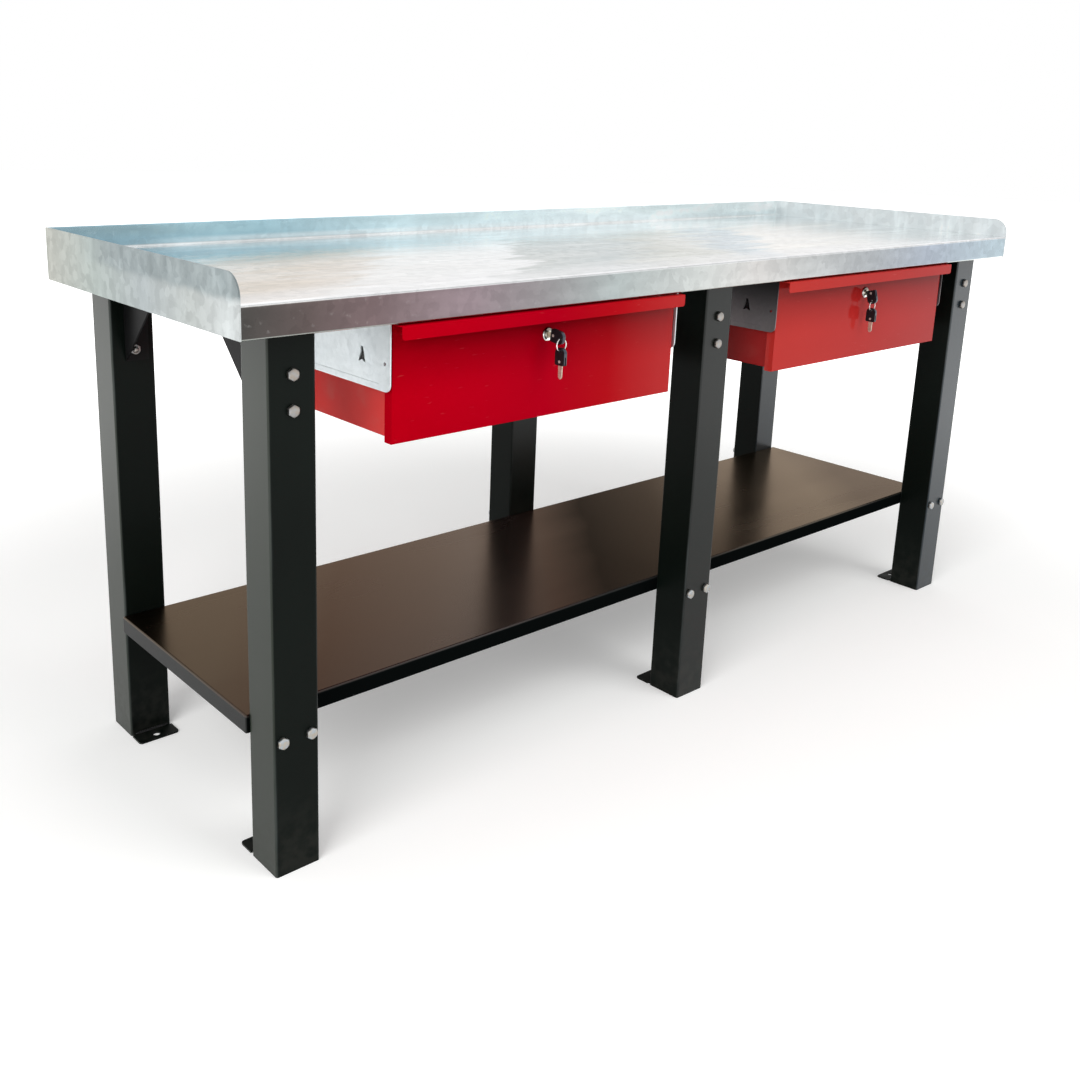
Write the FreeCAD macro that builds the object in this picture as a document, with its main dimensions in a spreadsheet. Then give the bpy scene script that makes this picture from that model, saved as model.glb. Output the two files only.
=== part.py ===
import FreeCAD
import Part
import os
import Sketcher
from FreeCAD import Placement, Rotation, Vector

# Garage workbench with two lockable drawers.
# Frame: X along the bench, -Y towards the user, Z up; the origin is on the floor in the middle
# of the six foot anchor holes. All sizes are millimetres.

doc = FreeCAD.newDocument("workbench")
dim = doc.addObject("Spreadsheet::Sheet", "dim")

SIZES = (
    # worktop
    ("top_length", 2000, "worktop, end to end"),
    ("surface_height", 868, "working surface above the floor"),
    ("lip_height", 39, "upstand and cheeks above the surface"),
    ("apron_height", 47, "surface down to the lower edge of the apron"),
    ("front_overhang", 38.5, "apron in front of the front legs"),
    ("rear_overhang", 27.5, "upstand behind the rear legs"),
    ("skin_wall", 2, "galvanised sheet of the top"),
    ("cheek_wall", 2.5, "galvanised sheet of the end cheeks"),
    ("return_width", 14, "inward return along the lower edge of the aprons"),
    ("hem_height", 8, "folded hem on the rear upstand"),
    ("skin_bend", 3, "outside bend radius of the top"),
    ("lip_corner", 32, "rounded front corner of the cheeks"),
    ("stiffener_height", 25, "top-hat stiffeners under the skin"),
    ("stiffener_width", 60, "width of a top-hat's box"),
    ("stiffener_flange", 12, "spot-welded flange of a top-hat"),
    ("stiffener_wall", 1.5, "sheet of the top-hats"),
    ("stiffener_margin", 49, "middle of the outer top-hats from the legs"),
    ("stiffener_inset", 20, "end of the top-hats from the end of the top"),
    # legs
    ("frame_depth", 584, "front face of the front legs to rear face of the rear legs"),
    ("leg_inset", 60, "outer legs from the ends of the top"),
    ("leg_width", 75, "leg along X"),
    ("leg_depth", 73, "leg along Y"),
    ("leg_wall", 2.5, "sheet of the legs"),
    ("leg_corner", 4, "outside corner radius of a leg"),
    ("tab_length", 37, "foot tab beyond the leg"),
    ("tab_wall", 3, "foot tab"),
    ("tab_corner", 6, "rounded corners of a foot tab"),
    ("tab_bend", 4, "bend between the leg and its foot tab"),
    ("tab_relief", 3, "corner relief beside the bend"),
    ("anchor_hole", 13, "floor anchor hole"),
    ("anchor_offset", 22, "anchor hole from the leg"),
    # cross-beams
    ("beam_offset", 24, "web of a cross-beam from the left face of its legs"),
    ("beam_wall", 3, "sheet of the cross-beams"),
    ("beam_flange", 40, "top and end flanges"),
    ("beam_lower_flange", 15, "return along the lower edge"),
    ("beam_depth", 50, "cross-beam between its haunches"),
    ("beam_end_depth", 151, "cross-beam at the legs"),
    ("haunch_run", 100, "length of the sloping haunch"),
    # M10 bolts
    ("bolt_diameter", 10, "M10"),
    ("bolt_clearance", 0.5, "bolt hole around the bolt, radial"),
    ("bolt_flats", 16, "across the flats"),
    ("bolt_head", 6.4, "height of a bolt head"),
    ("nut_height", 8.4, "height of a nut"),
    ("bolt_end", 5, "thread that stands out of a nut"),
    ("thread_clearance", 0.1, "gap between a thread and its nut"),
    ("leg_bolt_drop", 80, "upper leg bolt below the top of the cross-beams"),
    ("leg_bolt_pitch", 50.5, "upper to lower leg bolt"),
    ("shelf_bolt_drop", 16.5, "shelf bolts below the top of the shelf"),
    ("shelf_bolt_pitch", 48, "distance between the two shelf bolts of a leg"),
    # M8 screws of the cross-beams and M6 screws of the hanger plates
    ("beam_screw", 8, "M8"),
    ("beam_screw_flats", 13, "across the flats"),
    ("beam_screw_head", 5.3, "height of the head"),
    ("hanger_screw", 6, "M6"),
    ("hanger_screw_flats", 10, "across the flats"),
    ("hanger_screw_head", 4, "height of the head"),
    ("screw_end", 4, "screw beyond the sheet that it holds"),
    ("screw_clearance", 0.3, "screw hole around the screw, radial"),
    # shelf
    ("shelf_height", 236, "top of the shelf above the floor"),
    ("shelf_flange", 29, "depth of the folded edges"),
    ("shelf_wall", 1.5, "sheet of the shelf"),
    ("shelf_overrun", 5, "shelf beyond the outer faces of the legs"),
    ("shelf_bend", 3, "outside bend radius of the shelf"),
    ("rib_height", 20, "top-hat rib under the shelf"),
    ("rib_inset", 60, "end of the rib from the end of the shelf"),
    # hanger plates
    ("plate_gap", 4, "hanger plate beside the edge of the drawer front"),
    ("plate_wall", 2, "sheet of a hanger plate"),
    ("plate_height", 122, "height of a hanger plate"),
    ("plate_length", 424, "hanger plate, front to rear"),
    ("plate_lead", 3, "hanger plate in front of the drawer front"),
    ("plate_corner", 12, "rounded lower corners"),
    ("plate_flange", 26, "top flange of a hanger plate"),
    ("bead_rise", 11, "bead above the lower edge"),
    ("bead_width", 3, "width of the bead"),
    ("bead_depth", 0.6, "depth of the bead"),
    ("bead_inset", 27, "end of the bead from the end of the plate"),
    ("lance_offset", 70, "middle of the lance slot from the front of the plate"),
    ("lance_height", 23, "height of the lance slot"),
    ("lance_width", 17, "lance slot at its foot"),
    ("lance_neck", 5, "lance slot at its top"),
    ("pilot_hole", 5.5, "screw hole near the front of the plate"),
    ("pilot_offset", 13, "that hole from the front of the plate"),
    ("pilot_drop", 5.5, "that hole below the middle of the slide"),
    # ball-bearing slides
    ("slide_drop", 76, "middle of the slides below the top of the hanger plates"),
    ("slide_height", 45, "outer channel"),
    ("slide_width", 12.7, "slide, hanger plate to drawer side"),
    ("slide_wall", 1.2, "sheet of the channels"),
    ("slide_length", 400, "slide, front to rear"),
    ("slide_setback", 1.5, "slide behind the side returns of the drawer front"),
    ("slide_reach", 10.5, "depth of each channel"),
    ("slide_lip", 1.5, "lip at the end of a channel's flange"),
    ("drawer_travel", 300, "how far a drawer pulls out"),
    ("ball_size", 5, "ball diameter"),
    ("ball_play", 0.05, "gap between a ball and each race"),
    ("ball_pitch", 34, "distance between balls in a row"),
    ("cage_length", 96, "ball cage"),
    ("cage_wall", 0.6, "sheet of a ball cage"),
    ("cage_gap", 0.3, "ball cage from the web of the outer channel"),
    ("cage_hole_play", 0.15, "gap between a ball and its cage hole"),
    ("cage_rim", 0.9, "cage beyond its balls"),
    # drawers
    ("front_width", 600, "drawer front"),
    ("front_setback", 19, "drawer front behind the apron"),
    ("front_gap", 3, "gap between the apron and the drawer front"),
    ("front_height", 176, "height of the drawer front"),
    ("front_wall", 1.2, "sheet of the drawer front"),
    ("front_bend", 1.8, "outside bend radius of the drawer front"),
    ("handle_depth", 24, "handle lip in front of the drawer front"),
    ("handle_drop", 20, "height of the handle lip"),
    ("handle_corner", 5, "rounded lower corners of the handle lip"),
    ("side_return", 18, "side returns of the drawer front"),
    ("bottom_return", 14, "lower return of the drawer front"),
    ("box_wall", 1, "sheet of a drawer box"),
    ("box_bend", 2, "outside bend radius of a drawer box"),
    ("box_depth", 420, "drawer box, front to rear"),
    ("box_rise", 4.5, "drawer box above the lower edge of the drawer front"),
    ("box_height", 158.5, "height of its side walls"),
    ("box_rear_height", 128.5, "height of its rear wall"),
    ("box_hem", 8, "inward hem of the side walls"),
    # cam locks
    ("lock_drop", 43, "lock axis below the top of the drawer front"),
    ("lock_radius", 9.4, "threaded body of the lock"),
    ("lock_hole_play", 0.1, "gap between the lock body and its hole"),
    ("lock_flange", 11, "radius of the lock's face"),
    ("lock_face", 3, "thickness of the lock's face"),
    ("lock_chamfer", 1.2, "bevel around the lock's face"),
    ("lock_length", 22, "lock body behind the drawer front"),
    ("lock_nut_flats", 24, "across the flats of the lock nut"),
    ("lock_nut_height", 4, "thickness of the lock nut"),
    ("plug_radius", 6, "turning plug"),
    ("plug_play", 0.08, "running clearance of the plug"),
    ("plug_proud", 1.5, "plug in front of the lock's face"),
    ("plug_tail", 1.3, "plug behind the lock body"),
    ("stub_radius", 4, "end of the plug inside the cam"),
    ("cam_wall", 2, "thickness of the cam"),
    ("cam_reach", 26, "tip of the cam from the lock axis"),
    ("cam_width", 15, "width of the cam"),
    ("strike_gap", 0.8, "strike in front of the locked cam"),
    ("strike_overlap", 10, "how far the locked cam reaches behind the strike"),
    ("strike_wall", 1.5, "sheet of the strike"),
    ("strike_width", 40, "width of the strike"),
    ("strike_flange", 25, "top flange of the strike"),
    # folding keys
    ("blade_wall", 2, "thickness of a key blade"),
    ("blade_width", 8, "width of a key blade"),
    ("blade_reach", 28, "tip of the blade from its pivot"),
    ("blade_eye", 5, "radius of the blade's end around the pivot"),
    ("blade_play", 0.1, "gap between the blade and the plug's slot"),
    ("notch_pitch", 3, "distance between the cuts of a blade"),
    ("notch_depth", 1.3, "depth of the cuts"),
    ("key_pivot", 11.5, "pivot of the inserted key in front of the plug"),
    ("head_wall", 6, "thickness of a key head"),
    ("head_length", 28, "length of a key head"),
    ("head_width", 21, "width of a key head"),
    ("head_pivot", 6, "pivot from the blade end of the head"),
    ("head_slot", 2.4, "slot that the blade folds in"),
    ("head_slot_depth", 14, "depth of that slot"),
    ("head_corner", 9, "rounded corners at the ring end"),
    ("head_edge", 3, "rounded corners at the blade end"),
    ("rivet_radius", 1.5, "pivot rivet"),
    ("rivet_play", 0.08, "gap around the rivet"),
    ("rivet_head", 2.3, "radius of the rivet's heads"),
    ("rivet_head_wall", 0.4, "thickness of the rivet's heads"),
    ("ring_hole", 4.4, "hole for the ring"),
    ("ring_hole_end", 5.5, "that hole from the end of the head"),
    ("ring_radius", 10, "middle of the ring's wire"),
    ("ring_wire", 0.9, "half the thickness of the ring's flattened wire"),
    ("ring_edge", 0.35, "bevel along the edges of that wire"),
    ("left_fold", 8, "degrees that the left key's head hangs down"),
    ("right_fold", 75, "degrees that the right key's head hangs down"),
)

for row, (alias, number, note) in enumerate(SIZES, start=1):
    dim.set(f"A{row}", note)
    dim.set(f"B{row}", str(number))
    dim.setAlias(f"B{row}", alias)
doc.recompute()

# Levels and lines that several pieces share, as expressions on the sheet.
FRONT = "(-dim.frame_depth / 2 - dim.front_overhang)"
REAR = "(dim.frame_depth / 2 + dim.rear_overhang)"
TOP_END = "(dim.top_length / 2)"
SURFACE = "dim.surface_height"
UNDER_SKIN = "(dim.surface_height - dim.skin_wall)"
LIP_TOP = "(dim.surface_height + dim.lip_height)"
APRON_BOTTOM = "(dim.surface_height - dim.apron_height)"
BEAM_TOP = f"({UNDER_SKIN} - dim.stiffener_height)"
LEG_INNER = "(dim.frame_depth / 2 - dim.leg_depth)"
LEG_LEFT = {
    "left": f"(dim.leg_inset - {TOP_END})",
    "centre": "(-dim.leg_width / 2)",
    "right": f"({TOP_END} - dim.leg_inset - dim.leg_width)",
}
BAY_MIDDLE = f"(({TOP_END} - dim.leg_inset - dim.leg_width / 2) / 2)"
DRAWER_MIDDLE = {"left": f"(-{BAY_MIDDLE})", "right": BAY_MIDDLE}
FACE = f"({FRONT} + dim.front_setback)"
PLATE_FRONT = f"({FACE} - dim.plate_lead)"
PLATE_FACE = "(dim.front_width / 2 + dim.plate_gap)"
BOX_HALF = f"({PLATE_FACE} - dim.slide_width)"
BOX_FRONT = f"({FACE} + dim.front_wall)"
SLIDE_FRONT = f"({FACE} + dim.side_return + dim.slide_setback)"
LOCK_END = f"({FACE} + dim.lock_length)"
CAM_FRONT = f"({LOCK_END} + dim.plug_tail)"
PLUG_FRONT = f"({FACE} - dim.lock_face - dim.plug_proud)"

STIFFENER_OUT = f"({LEG_INNER} - dim.stiffener_margin)"
LEG_BOLT = f"({BEAM_TOP} - dim.leg_bolt_drop)"
SHELF_BOLT = "(dim.shelf_height - dim.shelf_bolt_drop)"
PLATE_BOTTOM = f"({BEAM_TOP} - dim.plate_height)"
SLIDE_MIDDLE = f"({BEAM_TOP} - dim.slide_drop)"
FRONT_TOP = f"({APRON_BOTTOM} - dim.front_gap)"
FRONT_BOTTOM = f"({FRONT_TOP} - dim.front_height)"
BOX_BOTTOM = f"({FRONT_BOTTOM} + dim.box_rise)"
BOX_TOP = f"({BOX_BOTTOM} + dim.box_height)"
BOX_REAR_TOP = f"({BOX_BOTTOM} + dim.box_rear_height)"
LOCK_LEVEL = f"({FRONT_TOP} - dim.lock_drop)"
STRIKE_BOTTOM = f"({LOCK_LEVEL} + dim.cam_reach - dim.strike_overlap)"
HANGER_SCREW_REACH = f"({PLATE_FACE} + dim.plate_wall / 2 + dim.plate_flange / 2)"

nodes = {}


def value(expression):
    """The number that an expression on the sheet stands for now."""
    return float(dim.evalExpression(str(expression)))


def across(drawer, side, reach):
    """X at a distance from a drawer's middle, on its left or right side."""
    return f"({DRAWER_MIDDLE[drawer]} {'-' if side == 'left' else '+'} ({reach}))"


def new_body(label):
    body = doc.addObject("PartDesign::Body", label)
    body.Label = label
    return body


def new_sketch(body, plane, level):
    """An empty sketch on one of the body's own planes, moved along its normal by level."""
    sketch = body.newObject("Sketcher::SketchObject", f"{body.Name}_sketch")
    role = f"{plane}_Plane"
    origin_plane = [item for item in body.Origin.OriginFeatures if item.Role == role][0]
    sketch.AttachmentSupport = [(origin_plane, "")]
    sketch.MapMode = "FlatFace"
    sketch.setExpression("AttachmentOffset.Base.z", str(level))
    return sketch


def bind(sketch, kind, where, expression):
    """A dimension of the sketch whose value follows an expression."""
    index = sketch.addConstraint(Sketcher.Constraint(kind, *where, value(expression)))
    sketch.setExpression(f"Constraints[{index}]", str(expression))


def polygon(body, plane, points, level="0"):
    """A closed outline whose corners are pairs of expressions."""
    sketch = new_sketch(body, plane, level)
    corners = [Vector(value(a), value(b), 0) for a, b in points]
    count = len(corners)
    lines = [Part.LineSegment(corners[i], corners[(i + 1) % count]) for i in range(count)]
    sketch.addGeometry(lines, False)
    joins = [Sketcher.Constraint("Coincident", i, 2, (i + 1) % count, 1) for i in range(count)]
    sketch.addConstraint(joins)
    for i, (a, b) in enumerate(points):
        bind(sketch, "DistanceX", (-1, 1, i, 1), a)
        bind(sketch, "DistanceY", (-1, 1, i, 1), b)
    return sketch


def rectangle(body, plane, a_range, b_range, level="0"):
    (a0, a1), (b0, b1) = a_range, b_range
    return polygon(body, plane, [(a0, b0), (a1, b0), (a1, b1), (a0, b1)], level)


def circles(body, plane, centres, radius, level="0"):
    """Equal circles whose centres are pairs of expressions."""
    sketch = new_sketch(body, plane, level)
    for i, (a, b) in enumerate(centres):
        centre = Vector(value(a), value(b), 0)
        sketch.addGeometry(Part.Circle(centre, Vector(0, 0, 1), value(radius)), False)
        bind(sketch, "DistanceX", (-1, 1, i, 3), a)
        bind(sketch, "DistanceY", (-1, 1, i, 3), b)
        bind(sketch, "Radius", (i,), radius)
    return sketch


def pad(body, sketch, length):
    """Adds material from the sketch along its plane's normal."""
    feature = body.newObject("PartDesign::Pad", f"{body.Name}_pad")
    feature.Profile = sketch
    feature.setExpression("Length", str(length))
    doc.recompute()
    return feature


def pocket(body, sketch, length, forward=False):
    """Cuts from the sketch against its plane's normal, or along it when forward."""
    before = body.Shape.Volume
    feature = body.newObject("PartDesign::Pocket", f"{body.Name}_pocket")
    feature.Profile = sketch
    feature.Reversed = forward
    feature.setExpression("Length", str(length))
    doc.recompute()
    if body.Shape.Volume >= before - 1e-6:
        raise RuntimeError(f"{feature.Label} cuts nothing")
    return feature


def fillet(body, radius, wanted):
    """Rounds each straight edge for which wanted(direction, midpoint) is true."""
    names = []
    for i, edge in enumerate(body.Shape.Edges, start=1):
        if not isinstance(edge.Curve, Part.Line):
            continue
        start, end = edge.Vertexes[0].Point, edge.Vertexes[-1].Point
        direction = (end - start).normalize()
        if wanted(direction, (start + end) / 2):
            names.append(f"Edge{i}")
    if not names:
        raise RuntimeError(f"{body.Label} has no edge to round")
    return dress(body, "Fillet", names, "Radius", radius)


def dress(body, kind, names, size, expression):
    """A fillet or a chamfer on the named edges of the body as it is so far."""
    base = body.Tip
    feature = body.newObject(f"PartDesign::{kind}", f"{body.Name}_{kind.lower()}")
    feature.Base = (base, names)
    feature.setExpression(size, str(expression))
    doc.recompute()
    if "Invalid" in feature.State:
        raise RuntimeError(f"{feature.Label} failed")
    return feature


def near(number, expression):
    return abs(number - value(expression)) < 0.01


def place(item, x="0", y="0", z="0"):
    """Binds where a piece stands."""
    for axis, expression in (("x", x), ("y", y), ("z", z)):
        item.setExpression(f"Placement.Base.{axis}", str(expression))


def keep(label, item):
    item.Label = label
    nodes[label] = item


def group(label, items):
    """One node that holds several separate, identical solids."""
    compound = doc.addObject("Part::Compound", label)
    compound.Links = items
    keep(label, compound)


# ---------------------------------------------------------------------------------------------
# Worktop: one folded pan, two end cheeks, a rear apron and three top-hat stiffeners
# ---------------------------------------------------------------------------------------------

def worktop_skin():
    body = new_body("worktop_skin")
    hem_front = f"({REAR} - 2 * dim.skin_wall)"
    upstand_front = f"({REAR} - dim.skin_wall)"
    behind_apron = f"({FRONT} + dim.skin_wall)"
    return_end = f"({FRONT} + dim.return_width)"
    above_return = f"({APRON_BOTTOM} + dim.skin_wall)"
    end = f"({TOP_END} - dim.cheek_wall)"
    points = [
        (return_end, APRON_BOTTOM), (FRONT, APRON_BOTTOM), (FRONT, SURFACE),
        (upstand_front, SURFACE), (upstand_front, f"{LIP_TOP} - dim.hem_height"),
        (hem_front, f"{LIP_TOP} - dim.hem_height"), (hem_front, LIP_TOP), (REAR, LIP_TOP),
        (REAR, UNDER_SKIN), (behind_apron, UNDER_SKIN), (behind_apron, above_return),
        (return_end, above_return),
    ]
    pad(body, polygon(body, "YZ", points, f"-{end}"), f"2 * {end}")
    fillet(body, "dim.skin_bend", lambda d, m: abs(d.x) > 0.99 and (
        near(m.y, FRONT) or (near(m.y, REAR) and near(m.z, UNDER_SKIN))))
    inside = "(dim.skin_bend - dim.skin_wall)"
    fillet(body, inside, lambda d, m: abs(d.x) > 0.99 and (
        near(m.y, behind_apron) or (near(m.y, upstand_front) and near(m.z, SURFACE))))
    fillet(body, "dim.skin_wall * 0.9", lambda d, m: abs(d.x) > 0.99 and near(m.z, LIP_TOP))
    keep("worktop_skin", body)


def end_cheek(side):
    """The lip and the apron of one end are a single plate with an inward return."""
    body = new_body(f"end_cheek_{side}")
    outer, inner = {
        "left": (f"-{TOP_END}", f"-{TOP_END} + dim.cheek_wall"),
        "right": (f"{TOP_END} - dim.cheek_wall", f"{TOP_END} - dim.return_width"),
    }[side]
    plate = rectangle(body, "YZ", (FRONT, REAR), (APRON_BOTTOM, LIP_TOP), outer)
    pad(body, plate, "dim.cheek_wall")
    clear_front = f"({FRONT} + dim.return_width + dim.cheek_wall)"
    clear_rear = f"({REAR} - dim.return_width - dim.cheek_wall)"
    strip = rectangle(body, "YZ", (clear_front, clear_rear),
                      (APRON_BOTTOM, f"{APRON_BOTTOM} + dim.skin_wall"), inner)
    pad(body, strip, "dim.return_width - dim.cheek_wall")
    fillet(body, "dim.lip_corner", lambda d, m: abs(d.x) > 0.99 and (
        near(m.y, FRONT) and near(m.z, LIP_TOP)))
    keep(f"end_cheek_{side}", body)


def rear_apron():
    body = new_body("rear_apron")
    inner = f"({REAR} - dim.skin_wall)"
    flange_end = f"({REAR} - dim.return_width - dim.skin_wall)"
    return_end = f"({REAR} - dim.return_width)"
    end = f"({TOP_END} - dim.cheek_wall)"
    points = [
        (flange_end, UNDER_SKIN), (REAR, UNDER_SKIN), (REAR, APRON_BOTTOM),
        (return_end, APRON_BOTTOM), (return_end, f"{APRON_BOTTOM} + dim.skin_wall"),
        (inner, f"{APRON_BOTTOM} + dim.skin_wall"), (inner, f"{UNDER_SKIN} - dim.skin_wall"),
        (flange_end, f"{UNDER_SKIN} - dim.skin_wall"),
    ]
    pad(body, polygon(body, "YZ", points, f"-{end}"), f"2 * {end}")
    fillet(body, "dim.skin_bend", lambda d, m: abs(d.x) > 0.99 and near(m.y, REAR))
    keep("rear_apron", body)


def stiffener_screws(row):
    """X of the screws that end in a stiffener; the rear one carries no hanger plate."""
    places = [f"{left} + dim.beam_offset + dim.beam_flange / 2" for left in LEG_LEFT.values()]
    if row < 2:
        places += [across(drawer, side, HANGER_SCREW_REACH)
                   for drawer in DRAWER_MIDDLE for side in ("left", "right")]
    return places


def stiffener(row, middle):
    body = top_hat(f"top_stiffener_{row}", middle, UNDER_SKIN, "dim.stiffener_height",
                   f"({TOP_END} - dim.stiffener_inset)")
    for i, x in enumerate(stiffener_screws(row)):
        screw = "dim.beam_screw" if i < len(LEG_LEFT) else "dim.hanger_screw"
        hole = circles(body, "XY", [(x, middle)], f"{screw} / 2 + dim.screw_clearance", BEAM_TOP)
        pocket(body, hole, "dim.stiffener_wall", forward=True)
    return body


def top_hat(label, middle, top, height, half_length):
    """A top-hat channel along X, open upwards, with its two flanges at the top."""
    body = new_body(label)
    half = "dim.stiffener_width / 2"
    wall = "dim.stiffener_wall"
    base = f"({top} - {height})"
    points = []
    for side, order in (("-", 1), ("+", -1)):
        other = "+" if side == "-" else "-"
        points += [
            (f"{middle} {side} ({half} + dim.stiffener_flange)", f"{top} - {wall}"),
            (f"{middle} {side} ({half} + dim.stiffener_flange)", top),
            (f"{middle} {side} ({half}) {other} {wall}", top),
            (f"{middle} {side} ({half}) {other} {wall}", f"{base} + {wall}"),
        ][::order]
    points += [
        (f"{middle} + {half}", f"{top} - {wall}"), (f"{middle} + {half}", base),
        (f"{middle} - {half}", base), (f"{middle} - {half}", f"{top} - {wall}"),
    ]
    pad(body, polygon(body, "YZ", points, f"-{half_length}"), f"2 * {half_length}")
    return body


# ---------------------------------------------------------------------------------------------
# Legs, cross-beams and shelf
# ---------------------------------------------------------------------------------------------

def leg(row, column):
    """A folded box leg with its foot tab; its own frame has the outer face on Y = 0."""
    body = new_body(f"leg_{row}_{column}")
    width, depth = "dim.leg_width", "dim.leg_depth"
    pad(body, rectangle(body, "XY", ("0", width), ("0", depth)), UNDER_SKIN)
    fillet(body, "dim.leg_corner", lambda d, m: abs(d.z) > 0.99)
    bore = rectangle(body, "XY", ("dim.leg_wall", f"{width} - dim.leg_wall"),
                     ("dim.leg_wall", f"{depth} - dim.leg_wall"))
    pocket(body, bore, UNDER_SKIN, forward=True)
    slot = f"{depth} + dim.tab_bend + 1"
    tab = polygon(body, "XY", [
        ("dim.tab_relief", f"{depth} - dim.leg_wall"),
        (f"{width} - dim.tab_relief", f"{depth} - dim.leg_wall"),
        (f"{width} - dim.tab_relief", slot), (width, slot),
        (width, f"{depth} + dim.tab_length"), ("0", f"{depth} + dim.tab_length"),
        ("0", slot), ("dim.tab_relief", slot),
    ])
    pad(body, tab, "dim.tab_wall")
    fillet(body, "dim.tab_corner", lambda d, m: abs(d.z) > 0.99 and (
        near(m.y, f"{depth} + dim.tab_length")))
    fillet(body, "dim.tab_bend", lambda d, m: abs(d.x) > 0.99 and (
        near(m.y, depth) and near(m.z, "dim.tab_wall")))
    anchor = circles(body, "XY", [(f"{width} / 2", f"{depth} + dim.anchor_offset")],
                     "dim.anchor_hole / 2")
    pocket(body, anchor, "dim.tab_wall", forward=True)
    holes = [(x, z) for x, z in bolt_places("dim.leg_width / 2")]
    bolts = circles(body, "XZ", holes, "dim.bolt_diameter / 2 + dim.bolt_clearance")
    pocket(body, bolts, depth)
    if row == "front":
        place(body, LEG_LEFT[column], "-dim.frame_depth / 2")
    else:
        body.Placement = Placement(Vector(), Rotation(Vector(0, 0, 1), 180))
        place(body, f"{LEG_LEFT[column]} + {width}", "dim.frame_depth / 2")
    keep(body.Label, body)


def bolt_places(middle):
    """Upper pair, one above the other, and lower pair, side by side, around a leg's middle."""
    return [
        (middle, LEG_BOLT),
        (middle, f"{LEG_BOLT} - dim.leg_bolt_pitch"),
        (f"{middle} - dim.shelf_bolt_pitch / 2", SHELF_BOLT),
        (f"{middle} + dim.shelf_bolt_pitch / 2", SHELF_BOLT),
    ]


def cross_beam(column):
    """A C-beam from the front leg to the rear leg with deep, sloping haunches at its ends."""
    body = new_body(f"cross_beam_{column}")
    wall = "dim.beam_wall"
    end_bottom = f"({BEAM_TOP} - dim.beam_end_depth)"
    bottom = f"({BEAM_TOP} - dim.beam_depth)"
    flat = f"({LEG_INNER} - dim.haunch_run)"
    web = polygon(body, "YZ", [
        (f"-{LEG_INNER}", end_bottom), (f"-{flat}", bottom), (flat, bottom),
        (LEG_INNER, end_bottom), (LEG_INNER, BEAM_TOP), (f"-{LEG_INNER}", BEAM_TOP),
    ])
    pad(body, web, wall)
    top = rectangle(body, "YZ", (f"-{LEG_INNER}", LEG_INNER), (f"{BEAM_TOP} - {wall}", BEAM_TOP))
    pad(body, top, "dim.beam_flange")
    lower = rectangle(body, "YZ", (f"-{flat}", flat), (bottom, f"{bottom} + {wall}"))
    pad(body, lower, "dim.beam_lower_flange")
    for y0, y1 in ((f"-{LEG_INNER}", f"-{LEG_INNER} + {wall}"), (f"{LEG_INNER} - {wall}", LEG_INNER)):
        pad(body, rectangle(body, "YZ", (y0, y1), (end_bottom, BEAM_TOP)), "dim.beam_flange")
    middle = "(dim.leg_width / 2 - dim.beam_offset)"
    holes = circles(body, "XZ", bolt_places(middle)[:2],
                    "dim.bolt_diameter / 2 + dim.bolt_clearance", f"-{LEG_INNER}")
    pocket(body, holes, f"2 * {LEG_INNER}", forward=True)
    screws = circles(body, "XY", [("dim.beam_flange / 2", y) for y in stiffener_middles()],
                     "dim.beam_screw / 2 + dim.screw_clearance", BEAM_TOP)
    pocket(body, screws, wall)
    place(body, f"{LEG_LEFT[column]} + dim.beam_offset")
    keep(body.Label, body)


def stiffener_middles():
    return [f"{step} * {STIFFENER_OUT}" for step in (-1, 0, 1)]


def shelf():
    """A folded tray that faces down and lies between the legs."""
    body = new_body("shelf")
    half = f"({TOP_END} - dim.leg_inset + dim.shelf_overrun)"
    base = "(dim.shelf_height - dim.shelf_flange)"
    plan = rectangle(body, "XY", (f"-{half}", half), (f"-{LEG_INNER}", LEG_INNER), base)
    pad(body, plan, "dim.shelf_flange")
    fillet(body, "dim.shelf_bend", lambda d, m: abs(d.z) > 0.99 or near(m.z, "dim.shelf_height"))
    inner = rectangle(body, "XY", (f"-{half} + dim.shelf_wall", f"{half} - dim.shelf_wall"),
                      (f"-{LEG_INNER} + dim.shelf_wall", f"{LEG_INNER} - dim.shelf_wall"), base)
    pocket(body, inner, "dim.shelf_flange - dim.shelf_wall", forward=True)
    holes = []
    for left in LEG_LEFT.values():
        holes += bolt_places(f"{left} + dim.leg_width / 2")[2:]
    sketch = circles(body, "XZ", holes, "dim.bolt_diameter / 2 + dim.bolt_clearance",
                     f"-{LEG_INNER}")
    pocket(body, sketch, f"2 * {LEG_INNER}", forward=True)
    keep("shelf", body)


# ---------------------------------------------------------------------------------------------
# Bolts, nuts and screws
# ---------------------------------------------------------------------------------------------

def prism(name, flats, height, turn):
    """A hexagonal prism along local Z."""
    item = doc.addObject("Part::Prism", name)
    item.Polygon = 6
    item.setExpression("Circumradius", f"({flats}) / 2 / cos(30 deg)")
    item.setExpression("Height", str(height))
    item.Placement = Placement(Vector(), Rotation(Vector(0, 0, 1), turn))
    return item


def cylinder(name, radius, height, level="0"):
    """A cylinder along local Z from level up."""
    item = doc.addObject("Part::Cylinder", name)
    item.setExpression("Radius", str(radius))
    item.setExpression("Height", str(height))
    item.setExpression("Placement.Base.z", str(level))
    return item


def hex_bolt(name, diameter, flats, head, length, where, turn):
    """Head below local Z = 0, shank above it; turn is the rotation that sends +Z into place."""
    top = prism(f"{name}_head", flats, head, 30)
    top.setExpression("Placement.Base.z", f"-{head}")
    shank = cylinder(f"{name}_shank", f"{diameter} / 2", length)
    bolt = doc.addObject("Part::Fuse", name)
    bolt.Base, bolt.Tool = top, shank
    bolt.Placement = Placement(Vector(), turn)
    place(bolt, *where)
    return bolt


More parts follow.
